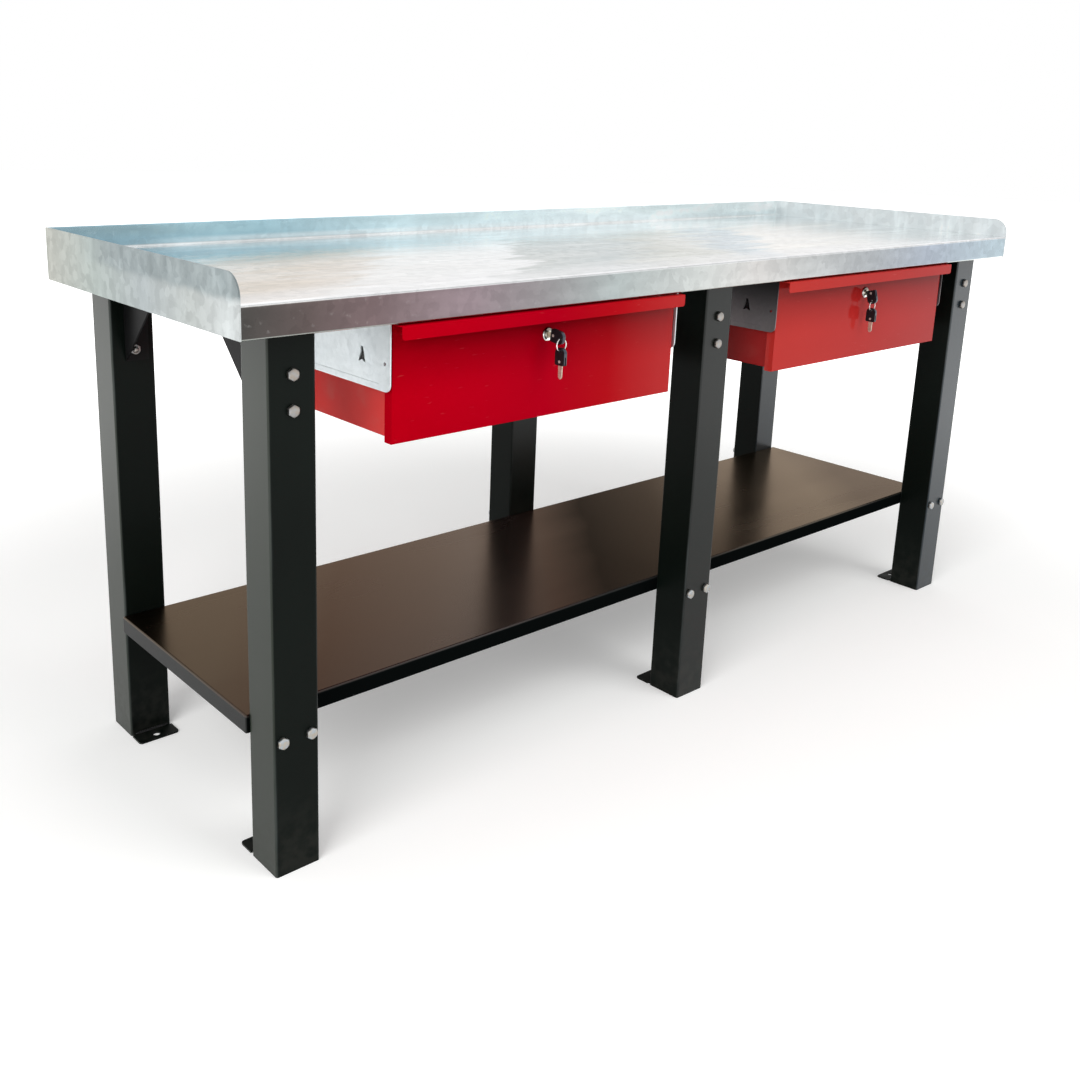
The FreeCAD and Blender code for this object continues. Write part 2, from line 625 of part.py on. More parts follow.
def hex_nut(name, where, turn):
    outside = prism(f"{name}_outside", "dim.bolt_flats", "dim.nut_height", 30)
    hole = cylinder(f"{name}_hole", "dim.bolt_diameter / 2 + dim.thread_clearance",
                    "dim.nut_height + 2", "-1")
    nut = doc.addObject("Part::Cut", name)
    nut.Base, nut.Tool = outside, hole
    nut.Placement = Placement(Vector(), turn)
    place(nut, *where)
    return nut


INTO = {"front": Rotation(Vector(1, 0, 0), -90), "rear": Rotation(Vector(1, 0, 0), 90)}
UP = Rotation()
LEG_FACE = {"front": "-dim.frame_depth / 2", "rear": "dim.frame_depth / 2"}
INWARD = {"front": "+", "rear": "-"}


def leg_fasteners(kind, picks, sheet_wall):
    """Bolts right through the legs, with their nuts on the piece that they hold."""
    bolts, nuts = [], []
    grip = f"(dim.leg_depth + {sheet_wall})"
    for row in ("front", "rear"):
        for column, left in LEG_LEFT.items():
            for i, (x, z) in enumerate(bolt_places(f"{left} + dim.leg_width / 2")[picks]):
                name = f"{kind}_{row}_{column}_{i}"
                length = f"{grip} + dim.nut_height + dim.bolt_end"
                nut_face = f"{LEG_FACE[row]} {INWARD[row]} {grip}"
                bolts.append(hex_bolt(f"{name}_bolt", "dim.bolt_diameter", "dim.bolt_flats",
                                      "dim.bolt_head", length, (x, LEG_FACE[row], z), INTO[row]))
                nuts.append(hex_nut(f"{name}_nut", (x, nut_face, z), INTO[row]))
    group(f"{kind}_bolts", bolts)
    group(f"{kind}_nuts", nuts)


def beam_screws():
    screws = []
    for column, left in LEG_LEFT.items():
        x = f"{left} + dim.beam_offset + dim.beam_flange / 2"
        for i, y in enumerate(stiffener_middles()):
            length = "dim.beam_wall + dim.stiffener_wall + dim.screw_end"
            where = (x, y, f"{BEAM_TOP} - dim.beam_wall")
            screws.append(hex_bolt(f"beam_screw_{column}_{i}", "dim.beam_screw",
                                   "dim.beam_screw_flats", "dim.beam_screw_head", length, where, UP))
    group("beam_screws", screws)


# ---------------------------------------------------------------------------------------------
# Drawer carriers: hanger plates, slides, ball cages
# ---------------------------------------------------------------------------------------------

def hanger_plate(drawer, side):
    body = new_body(f"hanger_plate_{drawer}_{side}")
    rear = f"({PLATE_FRONT} + dim.plate_length)"
    inner = f"{PLATE_FACE}"
    outer = f"({PLATE_FACE} + dim.plate_wall)"
    low = outer if side == "left" else inner
    plate = rectangle(body, "YZ", (PLATE_FRONT, rear), (PLATE_BOTTOM, BEAM_TOP),
                      across(drawer, side, low))
    pad(body, plate, "dim.plate_wall")
    fillet(body, "dim.plate_corner", lambda d, m: abs(d.x) > 0.99 and near(m.z, PLATE_BOTTOM))
    low = f"({PLATE_FACE} + dim.plate_flange)" if side == "left" else inner
    flange = rectangle(body, "YZ", (PLATE_FRONT, rear), (f"{BEAM_TOP} - dim.plate_wall", BEAM_TOP),
                       across(drawer, side, low))
    pad(body, flange, "dim.plate_flange")
    bead_level = f"({PLATE_BOTTOM} + dim.bead_rise)"
    bead = rectangle(body, "YZ", (f"{PLATE_FRONT} + dim.bead_inset", f"{rear} - dim.bead_inset"),
                     (f"{bead_level} - dim.bead_width / 2", f"{bead_level} + dim.bead_width / 2"),
                     across(drawer, side, outer))
    pocket(body, bead, "dim.bead_depth", forward=side == "left")
    through = across(drawer, side, outer)
    foot = f"({SLIDE_MIDDLE} - dim.lance_height / 2)"
    head = f"({SLIDE_MIDDLE} + dim.lance_height / 2)"
    shoulder = f"({head} - dim.lance_height / 3)"
    for y in (f"({PLATE_FRONT} + dim.lance_offset)", f"({rear} - dim.lance_offset)"):
        lance = polygon(body, "YZ", [
            (f"{y} - dim.lance_width / 2", foot), (y, f"{foot} + dim.lance_height / 6"),
            (f"{y} + dim.lance_width / 2", foot), (f"{y} + dim.lance_neck / 2", shoulder),
            (f"{y} + dim.lance_neck / 2", head), (f"{y} - dim.lance_neck / 2", head),
            (f"{y} - dim.lance_neck", shoulder),
        ], through)
        pocket(body, lance, "dim.plate_wall", forward=side == "left")
    pilot = circles(body, "YZ", [(f"{PLATE_FRONT} + dim.pilot_offset",
                                  f"{SLIDE_MIDDLE} - dim.pilot_drop")],
                    "dim.pilot_hole / 2", through)
    pocket(body, pilot, "dim.plate_wall", forward=side == "left")
    centre = across(drawer, side, HANGER_SCREW_REACH)
    holes = circles(body, "XY", [(centre, y) for y in stiffener_middles()[:2]],
                    "dim.hanger_screw / 2 + dim.screw_clearance", BEAM_TOP)
    pocket(body, holes, "dim.plate_wall")
    keep(body.Label, body)


def hanger_screws():
    screws = []
    for drawer in DRAWER_MIDDLE:
        for side in ("left", "right"):
            for i, y in enumerate(stiffener_middles()[:2]):
                length = "dim.plate_wall + dim.stiffener_wall + dim.screw_end"
                where = (across(drawer, side, HANGER_SCREW_REACH), y, f"{BEAM_TOP} - dim.plate_wall")
                screws.append(hex_bolt(f"hanger_screw_{drawer}_{side}_{i}", "dim.hanger_screw",
                                       "dim.hanger_screw_flats", "dim.hanger_screw_head",
                                       length, where, UP))
    group("hanger_screws", screws)


def channel(label, drawer, side, outline):
    """A slide channel along Y; its outline is (distance from the plate, height) pairs."""
    body = new_body(label)
    points = [(across(drawer, side, f"{PLATE_FACE} - ({reach})"), f"{SLIDE_MIDDLE} + ({height})")
              for reach, height in outline]
    level = f"-({SLIDE_FRONT} + dim.slide_length)"
    pad(body, polygon(body, "XZ", points, level), "dim.slide_length")
    return body


RACE = "(dim.slide_height / 2 - dim.slide_wall)"
INNER_RACE = f"({RACE} - dim.ball_size - 2 * dim.ball_play)"
INNER_START = "(dim.slide_width - dim.slide_reach + 0.3)"


def mirrored(half_outline):
    """A half outline above the middle, followed by its mirror image below."""
    below = [(reach, f"-({height})") for reach, height in reversed(half_outline)]
    return half_outline + below


def slide_outers(drawer):
    wall, reach = "dim.slide_wall", "dim.slide_reach"
    half = [
        (wall, RACE), (f"{reach} - {wall}", RACE), (f"{reach} - {wall}", f"{RACE} - dim.slide_lip"),
        (reach, f"{RACE} - dim.slide_lip"), (reach, "dim.slide_height / 2"),
        ("0", "dim.slide_height / 2"),
    ]
    group(f"slide_outers_{drawer}", [
        channel(f"slide_outer_{drawer}_{side}", drawer, side, mirrored(half))
        for side in ("left", "right")])


def slide_inners(drawer):
    wall, start = "dim.slide_wall", INNER_START
    half = [
        (f"dim.slide_width - {wall}", f"{INNER_RACE} - {wall}"), (start, f"{INNER_RACE} - {wall}"),
        (start, f"{INNER_RACE} + dim.slide_lip"), (f"{start} + {wall}", f"{INNER_RACE} + dim.slide_lip"),
        (f"{start} + {wall}", INNER_RACE), ("dim.slide_width", INNER_RACE),
    ]
    group(f"slide_inners_{drawer}", [
        channel(f"slide_inner_{drawer}_{side}", drawer, side, mirrored(half))
        for side in ("left", "right")])


def ball_cages(drawer):
    """Ball retainers; closed, they sit so that they reach the front of the slide when open."""
    pieces = []
    web = "(dim.slide_wall + dim.cage_gap)"
    rear = f"({SLIDE_FRONT} + dim.drawer_travel / 2 + dim.cage_length + 3)"
    ball_line = f"({RACE} - dim.ball_play - dim.ball_size / 2)"
    ball_reach = f"(({INNER_START} + dim.slide_reach) / 2)"
    strip_end = f"({ball_reach} + dim.ball_size / 2 + dim.cage_rim)"
    half = [
        (f"{web} + dim.cage_wall", f"{ball_line} - dim.cage_wall / 2"),
        (strip_end, f"{ball_line} - dim.cage_wall / 2"),
        (strip_end, f"{ball_line} + dim.cage_wall / 2"), (web, f"{ball_line} + dim.cage_wall / 2"),
    ]
    for side in ("left", "right"):
        body = new_body(f"ball_cage_{drawer}_{side}")
        points = [(across(drawer, side, f"{PLATE_FACE} - ({reach})"), f"{SLIDE_MIDDLE} + ({height})")
                  for reach, height in mirrored(half)]
        pad(body, polygon(body, "XZ", points, f"-{rear}"), "dim.cage_length")
        x = across(drawer, side, f"{PLATE_FACE} - {ball_reach}")
        spots = [f"({rear} - dim.cage_length / 2 + {step} * dim.ball_pitch)" for step in (-1, 0, 1)]
        holes = circles(body, "XY", [(x, y) for y in spots],
                        "dim.ball_size / 2 + dim.cage_hole_play", f"{SLIDE_MIDDLE} - dim.slide_height")
        pocket(body, holes, "2 * dim.slide_height", forward=True)
        pieces.append(body)
        for i, y in enumerate(spots):
            for sign in ("+", "-"):
                ball = doc.addObject("Part::Sphere", f"ball_{drawer}_{side}_{i}")
                ball.setExpression("Radius", "dim.ball_size / 2")
                place(ball, x, y, f"{SLIDE_MIDDLE} {sign} {ball_line}")
                pieces.append(ball)
    group(f"ball_cages_{drawer}", pieces)


# ---------------------------------------------------------------------------------------------
# Drawers
# ---------------------------------------------------------------------------------------------

def drawer_box(drawer):
    body = new_body(f"drawer_box_{drawer}")
    rear = f"({BOX_FRONT} + dim.box_depth)"
    left, right = across(drawer, "left", BOX_HALF), across(drawer, "right", BOX_HALF)
    plan = rectangle(body, "XY", (left, right), (BOX_FRONT, rear), BOX_BOTTOM)
    pad(body, plan, f"{BOX_TOP} - {BOX_BOTTOM}")
    fillet(body, "dim.box_bend", lambda d, m: abs(d.y) > 0.99 and near(m.z, BOX_BOTTOM))
    wall = "dim.box_wall"
    inner = rectangle(body, "XY", (f"{left} + {wall}", f"{right} - {wall}"),
                      (f"{BOX_FRONT} + {wall}", f"{rear} - {wall}"), BOX_TOP)
    pocket(body, inner, f"{BOX_TOP} - {BOX_BOTTOM} - {wall}")
    for x0, x1 in ((f"{left} + {wall} / 2", f"{left} + dim.box_hem"),
                   (f"{right} - dim.box_hem", f"{right} - {wall} / 2")):
        hem = rectangle(body, "XY", (x0, x1), (BOX_FRONT, f"{rear} - {wall}"), f"{BOX_TOP} - {wall}")
        pad(body, hem, wall)
    notch = rectangle(body, "XY", (f"{left} + {wall}", f"{right} - {wall}"),
                      (f"{rear} - 2 * {wall}", f"{rear} + {wall}"), BOX_TOP)
    pocket(body, notch, f"{BOX_TOP} - {BOX_REAR_TOP}")
    hole = circles(body, "XZ", [(DRAWER_MIDDLE[drawer], LOCK_LEVEL)],
                   "dim.lock_radius + dim.lock_hole_play", f"-{BOX_FRONT}")
    pocket(body, hole, wall)
    keep(body.Label, body)


def drawer_front(drawer):
    """Face, handle lip, side returns and lower return, folded from one sheet."""
    body = new_body(f"drawer_front_{drawer}")
    wall = "dim.front_wall"
    left = across(drawer, "left", "dim.front_width / 2")
    handle = f"({FACE} - dim.handle_depth)"
    back = f"({FACE} + {wall})"
    tip = f"({FRONT_TOP} - dim.handle_drop)"
    outline = [
        (f"{FACE} + dim.bottom_return", FRONT_BOTTOM), (FACE, FRONT_BOTTOM),
        (FACE, f"{FRONT_TOP} - {wall}"), (f"{handle} + {wall}", f"{FRONT_TOP} - {wall}"),
        (f"{handle} + {wall}", tip), (handle, tip), (handle, FRONT_TOP),
        (back, FRONT_TOP), (back, f"{FRONT_BOTTOM} + {wall}"),
        (f"{FACE} + dim.bottom_return", f"{FRONT_BOTTOM} + {wall}"),
    ]
    pad(body, polygon(body, "YZ", outline, left), "dim.front_width")
    fillet(body, "dim.handle_corner", lambda d, m: abs(d.y) > 0.99 and (
        near(m.z, tip) and m.y < value(FACE)))
    for x in (left, across(drawer, "right", f"dim.front_width / 2 - {wall}")):
        side = rectangle(body, "YZ", (FACE, f"{FACE} + dim.side_return"),
                         (FRONT_BOTTOM, FRONT_TOP), x)
        pad(body, side, wall)
    fillet(body, "dim.front_bend", lambda d, m: abs(d.x) > 0.99 and (
        (near(m.y, FACE) and near(m.z, FRONT_BOTTOM))
        or (near(m.y, handle) and near(m.z, FRONT_TOP))))
    hole = circles(body, "XZ", [(DRAWER_MIDDLE[drawer], LOCK_LEVEL)],
                   "dim.lock_radius + dim.lock_hole_play", f"-{FACE}")
    pocket(body, hole, wall)
    keep(body.Label, body)


# ---------------------------------------------------------------------------------------------
# Cam locks and keys
# ---------------------------------------------------------------------------------------------

def disc(body, radius, start, end, middle):
    """A round step along Y between two levels."""
    sketch = circles(body, "XZ", [middle], radius, f"-({end})")
    return pad(body, sketch, f"({end}) - ({start})")


def lock_housing(drawer):
    body = new_body(f"lock_housing_{drawer}")
    middle = (DRAWER_MIDDLE[drawer], LOCK_LEVEL)
    disc(body, "dim.lock_flange", f"{FACE} - dim.lock_face", FACE, middle)
    face = value(f"{FACE} - dim.lock_face")
    names = [f"Edge{i}" for i, edge in enumerate(body.Shape.Edges, start=1)
             if abs(edge.BoundBox.YMin - face) < 0.01 and abs(edge.BoundBox.YMax - face) < 0.01]
    dress(body, "Chamfer", names, "Size", "dim.lock_chamfer")
    disc(body, "dim.lock_radius", FACE, LOCK_END, middle)
    bore = circles(body, "XZ", [middle], "dim.plug_radius + dim.plug_play", f"-({LOCK_END})")
    pocket(body, bore, "dim.lock_length + dim.lock_face", forward=True)
    keep(body.Label, body)


def lock_nut(drawer):
    outside = prism(f"lock_nut_outside_{drawer}", "dim.lock_nut_flats", "dim.lock_nut_height", 0)
    hole = cylinder(f"lock_nut_hole_{drawer}", "dim.lock_radius + dim.lock_hole_play",
                    "dim.lock_nut_height + 2", "-1")
    nut = doc.addObject("Part::Cut", f"lock_nut_{drawer}")
    nut.Base, nut.Tool = outside, hole
    nut.Placement = Placement(Vector(), INTO["front"])
    place(nut, DRAWER_MIDDLE[drawer], f"{BOX_FRONT} + dim.box_wall", LOCK_LEVEL)
    keep(f"lock_nut_{drawer}", nut)


def lock_plug(drawer):
    body = new_body(f"lock_plug_{drawer}")
    middle = (DRAWER_MIDDLE[drawer], LOCK_LEVEL)
    disc(body, "dim.plug_radius", PLUG_FRONT, CAM_FRONT, middle)
    disc(body, "dim.stub_radius", CAM_FRONT, f"{CAM_FRONT} + dim.cam_wall", middle)
    disc(body, "dim.stub_radius + 1.5", f"{CAM_FRONT} + dim.cam_wall",
         f"{CAM_FRONT} + 2 * dim.cam_wall", middle)
    x, z = middle
    half_wall = "(dim.blade_wall / 2 + dim.blade_play)"
    half_width = "(dim.blade_width / 2 + dim.blade_play)"
    slot = rectangle(body, "XZ", (f"{x} - {half_wall}", f"{x} + {half_wall}"),
                     (f"{z} - {half_width}", f"{z} + {half_width}"), f"-{PLUG_FRONT}")
    pocket(body, slot, "dim.blade_reach - dim.key_pivot + dim.blade_play")
    keep(body.Label, body)


def lock_cam(drawer):
    """Flat cam, level while the drawer is unlocked; it turns up behind the strike."""
    body = new_body(f"lock_cam_{drawer}")
    x, z = DRAWER_MIDDLE[drawer], LOCK_LEVEL
    half = "(dim.cam_width / 2)"
    level = f"-({CAM_FRONT} + dim.cam_wall)"
    arm = rectangle(body, "XZ", (f"{x} - dim.cam_reach", f"{x} + {half}"),
                    (f"{z} - {half}", f"{z} + {half}"), level)
    pad(body, arm, "dim.cam_wall")
    fillet(body, "dim.cam_width * 0.45", lambda d, m: abs(d.y) > 0.99 and (
        m.x > value(x)))
    fillet(body, "dim.cam_width * 0.2", lambda d, m: abs(d.y) > 0.99 and (
        m.x < value(x)))
    hole = circles(body, "XZ", [(x, z)], "dim.stub_radius + dim.blade_play", f"-({CAM_FRONT})")
    pocket(body, hole, "dim.cam_wall")
    keep(body.Label, body)


def lock_strike(drawer):
    """A bracket under the skin that the turned cam hooks behind."""
    body = new_body(f"lock_strike_{drawer}")
    rear = f"({CAM_FRONT} - dim.strike_gap)"
    front = f"({rear} - dim.strike_wall)"
    outline = polygon(body, "YZ", [
        (front, STRIKE_BOTTOM), (rear, STRIKE_BOTTOM),
        (rear, f"{UNDER_SKIN} - dim.strike_wall"),
        (f"{front} + dim.strike_flange", f"{UNDER_SKIN} - dim.strike_wall"),
        (f"{front} + dim.strike_flange", UNDER_SKIN), (front, UNDER_SKIN),
    ], f"{DRAWER_MIDDLE[drawer]} - dim.strike_width / 2")
    pad(body, outline, "dim.strike_width")
    keep(body.Label, body)


def key_head(label):
    """Moulded head in the key's own frame: pivot at the origin, ring end towards -Y."""
    body = new_body(label)
    half, side = "(dim.head_wall / 2)", "(dim.head_width / 2)"
    blade_end, ring_end = "dim.head_pivot", "(dim.head_pivot - dim.head_length)"
    pad(body, rectangle(body, "YZ", (ring_end, blade_end), (f"-{side}", side), f"-{half}"),
        "dim.head_wall")
    fillet(body, "dim.head_corner", lambda d, m: abs(d.x) > 0.99 and m.y < 0)
    fillet(body, "dim.head_edge", lambda d, m: abs(d.x) > 0.99 and near(m.y, blade_end))
    slot_end = f"({blade_end} - dim.head_slot_depth)"
    slot = rectangle(body, "XY", ("-dim.head_slot / 2", "dim.head_slot / 2"),
                     (slot_end, f"{blade_end} + 1"), side)
    pocket(body, slot, "dim.head_width")
    for y, radius in ((f"{ring_end} + dim.ring_hole_end", "dim.ring_hole / 2"),
                      ("0", "dim.rivet_radius + dim.rivet_play")):
        pocket(body, circles(body, "YZ", [(y, "0")], radius, f"-{half}"), "dim.head_wall", forward=True)
    return body


def key_blade(label):
    """Blade with its cuts, in the key's own frame: pivot at the origin, tip towards +Y."""
    body = new_body(label)
    half = "(dim.blade_width / 2)"
    level = "-dim.blade_wall / 2"
    tip = "dim.blade_reach"
    points = [("0", f"-{half}"), (f"{tip} - {half}", f"-{half}"), (tip, f"-{half} / 4"),
              (tip, f"{half} / 4"), (f"{tip} - {half}", half)]
    for i in range(1, 5):
        bottom = f"({tip} - {half} - {i} * dim.notch_pitch + dim.notch_pitch / 2)"
        points += [(f"{bottom} + dim.notch_pitch / 3", half),
                   (bottom, f"{half} - dim.notch_depth * {1 if i % 2 else 0.6}"),
                   (f"{bottom} - dim.notch_pitch / 3", half)]
    points.append(("0", half))
    pad(body, polygon(body, "YZ", points, level), "dim.blade_wall")
    pad(body, circles(body, "YZ", [("0", "0")], "dim.blade_eye", level), "dim.blade_wall")
    hole = circles(body, "YZ", [("0", "0")], "dim.rivet_radius + dim.rivet_play", level)
    pocket(body, hole, "dim.blade_wall", forward=True)
    return body


def key_rivet(label):
    """Pivot rivet along X with a flat head on each face of the key head."""
    body = new_body(label)
    half = "(dim.head_wall / 2)"
    shank = circles(body, "YZ", [("0", "0")], "dim.rivet_radius", f"-{half}")
    pad(body, shank, "dim.head_wall")
    for level in (f"-{half} - dim.rivet_head_wall", half):
        pad(body, circles(body, "YZ", [("0", "0")], "dim.rivet_head", level), "dim.rivet_head_wall")
    return body


def turned(item, angle, x, y, z):
    """Turns a piece of a key about X and puts its pivot in place."""
    item.setExpression("Placement.Rotation.Angle", angle)
    item.Placement = Placement(Vector(), Rotation(Vector(1, 0, 0), value(angle)))
    place(item, x, y, z)
    keep(item.Label, item)


def key_ring(drawer, x, y, z):
    """A ring of flattened wire around Y, with its four edges taken off."""
    body = new_body(f"key_ring_{drawer}")
    rear = f"{y} + dim.ring_wire"
    disc(body, "dim.ring_radius + dim.ring_wire", f"{y} - dim.ring_wire", rear, (x, z))
    bore = circles(body, "XZ", [(x, z)], "dim.ring_radius - dim.ring_wire", f"-({rear})")
    pocket(body, bore, "2 * dim.ring_wire", forward=True)
    names = [f"Edge{i}" for i, edge in enumerate(body.Shape.Edges, start=1) if len(edge.Vertexes) == 1]
    dress(body, "Chamfer", names, "Size", "dim.ring_edge")
    keep(body.Label, body)


def keys(drawer):
    """The key in the lock, its ring, and the spare key that hangs from the ring."""
    x = DRAWER_MIDDLE[drawer]
    fold = f"dim.{drawer}_fold"
    pivot = f"({PLUG_FRONT} - dim.key_pivot)"
    hole_reach = "(dim.head_length - dim.head_pivot - dim.ring_hole_end)"
    hole_y = f"({pivot} - {hole_reach} * cos({fold} * 1 deg))"
    hole_z = f"({LOCK_LEVEL} - {hole_reach} * sin({fold} * 1 deg))"
    turned(key_blade(f"key_blade_{drawer}"), "0", x, pivot, LOCK_LEVEL)
    turned(key_head(f"key_head_{drawer}"), fold, x, pivot, LOCK_LEVEL)
    turned(key_rivet(f"key_rivet_{drawer}"), fold, x, pivot, LOCK_LEVEL)
    key_ring(drawer, x, hole_y, f"({hole_z} - dim.ring_radius)")
    spare_pivot = f"({hole_z} - 2 * dim.ring_radius - {hole_reach})"
    for maker, name in ((key_head, "spare_head"), (key_blade, "spare_blade"), (key_rivet, "spare_rivet")):
        turned(maker(f"{name}_{drawer}"), "-90", x, hole_y, spare_pivot)


# ---------------------------------------------------------------------------------------------
# Assembly
# ---------------------------------------------------------------------------------------------

worktop_skin()
for end in ("left", "right"):
    end_cheek(end)
rear_apron()
group("top_stiffeners", [stiffener(i, middle) for i, middle in enumerate(stiffener_middles())])
for leg_row in ("front", "rear"):
    for leg_column in LEG_LEFT:
        leg(leg_row, leg_column)
for beam_column in LEG_LEFT:
    cross_beam(beam_column)
shelf()
keep("shelf_rib", top_hat("shelf_rib", "0", "(dim.shelf_height - dim.shelf_wall)", "dim.rib_height",
                          f"({TOP_END} - dim.leg_inset - dim.rib_inset)"))
leg_fasteners("leg", slice(0, 2), "dim.beam_wall")
leg_fasteners("shelf", slice(2, 4), "dim.shelf_wall")
beam_screws()
hanger_screws()
for bay in DRAWER_MIDDLE:
    for plate_side in ("left", "right"):
        hanger_plate(bay, plate_side)
    slide_outers(bay)
    slide_inners(bay)
    ball_cages(bay)
    drawer_box(bay)
    drawer_front(bay)
    lock_strike(bay)
    lock_housing(bay)
    lock_nut(bay)
    lock_plug(bay)
    lock_cam(bay)
    keys(bay)

doc.recompute()
for item in doc.Objects:
    if "Invalid" in item.State or "Error" in item.State:
        raise RuntimeError(f"{item.Label} failed: {item.State}")
for label, item in nodes.items():
    shape = item.Shape
    if shape.isNull() or not shape.isValid() or not shape.Solids:
        raise RuntimeError(f"{label} has no valid solid")

os.makedirs("parts", exist_ok=True)
for label, item in nodes.items():
    item.Shape.exportStep(f"parts/{label}.step")
    print(f"{label}: {len(item.Shape.Solids)} solid(s), volume {item.Shape.Volume:.0f} mm3")
print(len(nodes), "nodes")
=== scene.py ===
import math

import bmesh
import bpy
import numpy as np
from mathutils import Matrix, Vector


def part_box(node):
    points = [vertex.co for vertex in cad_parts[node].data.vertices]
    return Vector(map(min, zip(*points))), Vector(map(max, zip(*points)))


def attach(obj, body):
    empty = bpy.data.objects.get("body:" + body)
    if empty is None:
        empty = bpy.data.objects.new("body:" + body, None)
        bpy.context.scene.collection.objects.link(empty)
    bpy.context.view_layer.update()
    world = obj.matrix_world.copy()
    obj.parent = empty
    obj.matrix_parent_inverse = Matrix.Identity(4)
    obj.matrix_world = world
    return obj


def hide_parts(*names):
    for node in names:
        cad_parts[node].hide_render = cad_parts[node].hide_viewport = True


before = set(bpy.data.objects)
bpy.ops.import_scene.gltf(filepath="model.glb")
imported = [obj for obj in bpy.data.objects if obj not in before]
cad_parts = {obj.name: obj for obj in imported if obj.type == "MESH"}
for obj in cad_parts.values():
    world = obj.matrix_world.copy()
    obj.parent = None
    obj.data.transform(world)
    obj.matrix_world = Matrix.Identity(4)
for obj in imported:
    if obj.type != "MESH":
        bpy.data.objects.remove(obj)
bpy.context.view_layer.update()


# ------------------------------------------------------------------------------------------- legs
# Six box legs folded from 2.5 mm steel, each with a foot tab for a floor anchor. They are powder
# coated satin black: a fine orange peel, rubbed bends with a painted highlight on them, a painted
# sheen on the left faces of the left legs and the fronts of the right legs, and dust near the
# floor.

class Shade:
    """A value in a material: +, -, * and abs() add the Math node of that name, node() any other."""

    def __init__(self, tree, socket=None):
        self.tree = tree
        self.socket = socket

    def node(self, kind, settings=None, values=None, out=0):
        """Adds a node, sets its settings and then its sockets, and gives one of its outputs."""
        made = self.tree.nodes.new("ShaderNode" + kind)
        for name, value in (settings or {}).items():
            if name == "stops":
                ramp = made.color_ramp
                while len(ramp.elements) < len(value):
                    ramp.elements.new(1.0)
                for element, (place, colour) in zip(ramp.elements, value):
                    element.position, element.color = place, (*colour, 1.0)
            else:
                setattr(made, name, value)
        for key, value in (values or {}).items():
            if isinstance(value, Shade):
                self.tree.links.new(value.socket, made.inputs[key])
            else:
                made.inputs[key].default_value = value
        return Shade(self.tree, made.outputs[out] if made.outputs else None)

    def other(self, out):
        """Another output of the same node."""
        return Shade(self.tree, self.socket.node.outputs[out])

    def maths(self, operation, first, second):
        return self.node("Math", {"operation": operation}, {0: first, 1: second})

    def __add__(self, value):
        return self.maths("ADD", self, value)

    def __radd__(self, value):
        return self.maths("ADD", value, self)

    def __sub__(self, value):
        return self.maths("SUBTRACT", self, value)

    def __rsub__(self, value):
        return self.maths("SUBTRACT", value, self)

    def __mul__(self, value):
        return self.maths("MULTIPLY", self, value)

    def __rmul__(self, value):
        return self.maths("MULTIPLY", value, self)

    def __abs__(self):
        return self.maths("ABSOLUTE", self, 0.0)


def new_material(name):
    """An empty material and the place on the piece, in metres, that its patterns are read at."""
    material = bpy.data.materials.new(name)
    material.use_nodes = True
    material.node_tree.nodes.clear()
    return material, Shade(material.node_tree).node("TexCoord", out="Object")


def axes(place):
    """The X, Y and Z of a place."""
    x = place.node("SeparateXYZ", values={0: place})
    return x, x.other(1), x.other(2)


def noise(place, size, stretch=(1, 1, 1), detail=3.0, seed=0.0):
    """Noise from 0 to 1 in lumps of that size in metres, drawn out along the stretched axes."""
    scale = tuple(1 / (size * s) for s in stretch)
    moved = place.node("Mapping", values={
        "Vector": place, "Location": (seed, -seed, seed), "Scale": scale})
    return place.node("TexNoise", values={"Vector": moved, "Scale": 1.0, "Detail": detail})


def rise(value, low, high):
    """0 below low, 1 above high and a smooth step between them."""
    return value.node("MapRange", {"interpolation_type": "SMOOTHSTEP"},
                      {"Value": value, "From Min": low, "From Max": high})


def mix(amount, first, second):
    """The first colour where amount is 0 and the second where it is 1."""
    shade = next(s for s in (amount, first, second) if isinstance(s, Shade))
    first, second = ((*c, 1.0) if isinstance(c, tuple) else c for c in (first, second))
    return shade.node("Mix", {"data_type": "RGBA"}, {0: amount, 6: first, 7: second}, out=2)


def ramp(value, low, high, *stops):
    """A colour for each value: each stop is a place between low and high and its colour."""
    share = value.node("MapRange", values={"Value": value, "From Min": low, "From Max": high})
    stops = [((at - low) / (high - low), colour) for at, colour in stops]
    return share.node("ValToRGB", {"stops": stops}, {"Fac": share})


def grey_ramp(value, low, high, *stops):
    """A number for each value: each stop is a place between low and high and its number."""
    return axes(ramp(value, low, high, *[(at, (level, level, level)) for at, level in stops]))[0]


def near(value, *levels):
    """How far a value is from the nearest of the levels."""
    nearest = abs(value - levels[0])
    for level in levels[1:]:
        nearest = value.maths("MINIMUM", nearest, abs(value - level))
    return nearest


def coat(material, place, colour, roughness, height=None, **fixed):
    """Closes a material: a Principled surface whose bump follows a height in metres."""
    values = {"Base Color": colour, "Roughness": roughness}
    if height is not None:
        values["Normal"] = place.node("Bump", values={
            "Height": height, "Distance": 1.0, "Strength": 1.0})
    for name, value in fixed.items():
        values[name.replace("_", " ").title().replace("Ior", "IOR")] = value
    shader = place.node("BsdfPrincipled", values=values)
    place.node("OutputMaterial", values={"Surface": shader})
    return material


def dress(material, *names):
    """Puts a material in every slot of the named CAD nodes."""
    for name in names:
        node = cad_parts[name]
        if not node.material_slots:
            node.data.materials.append(material)
        for place in node.material_slots:
            place.material = material


SIDES = ("left", "right")
COLUMNS = ("left", "centre", "right")
LEGS = [f"leg_{row}_{column}" for row in ("front", "rear") for column in COLUMNS]
LEG_WIDTH = 0.075
leg_low, leg_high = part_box("leg_front_left")
centre_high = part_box("leg_front_centre")[1]
leg_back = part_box("shelf")[0].y


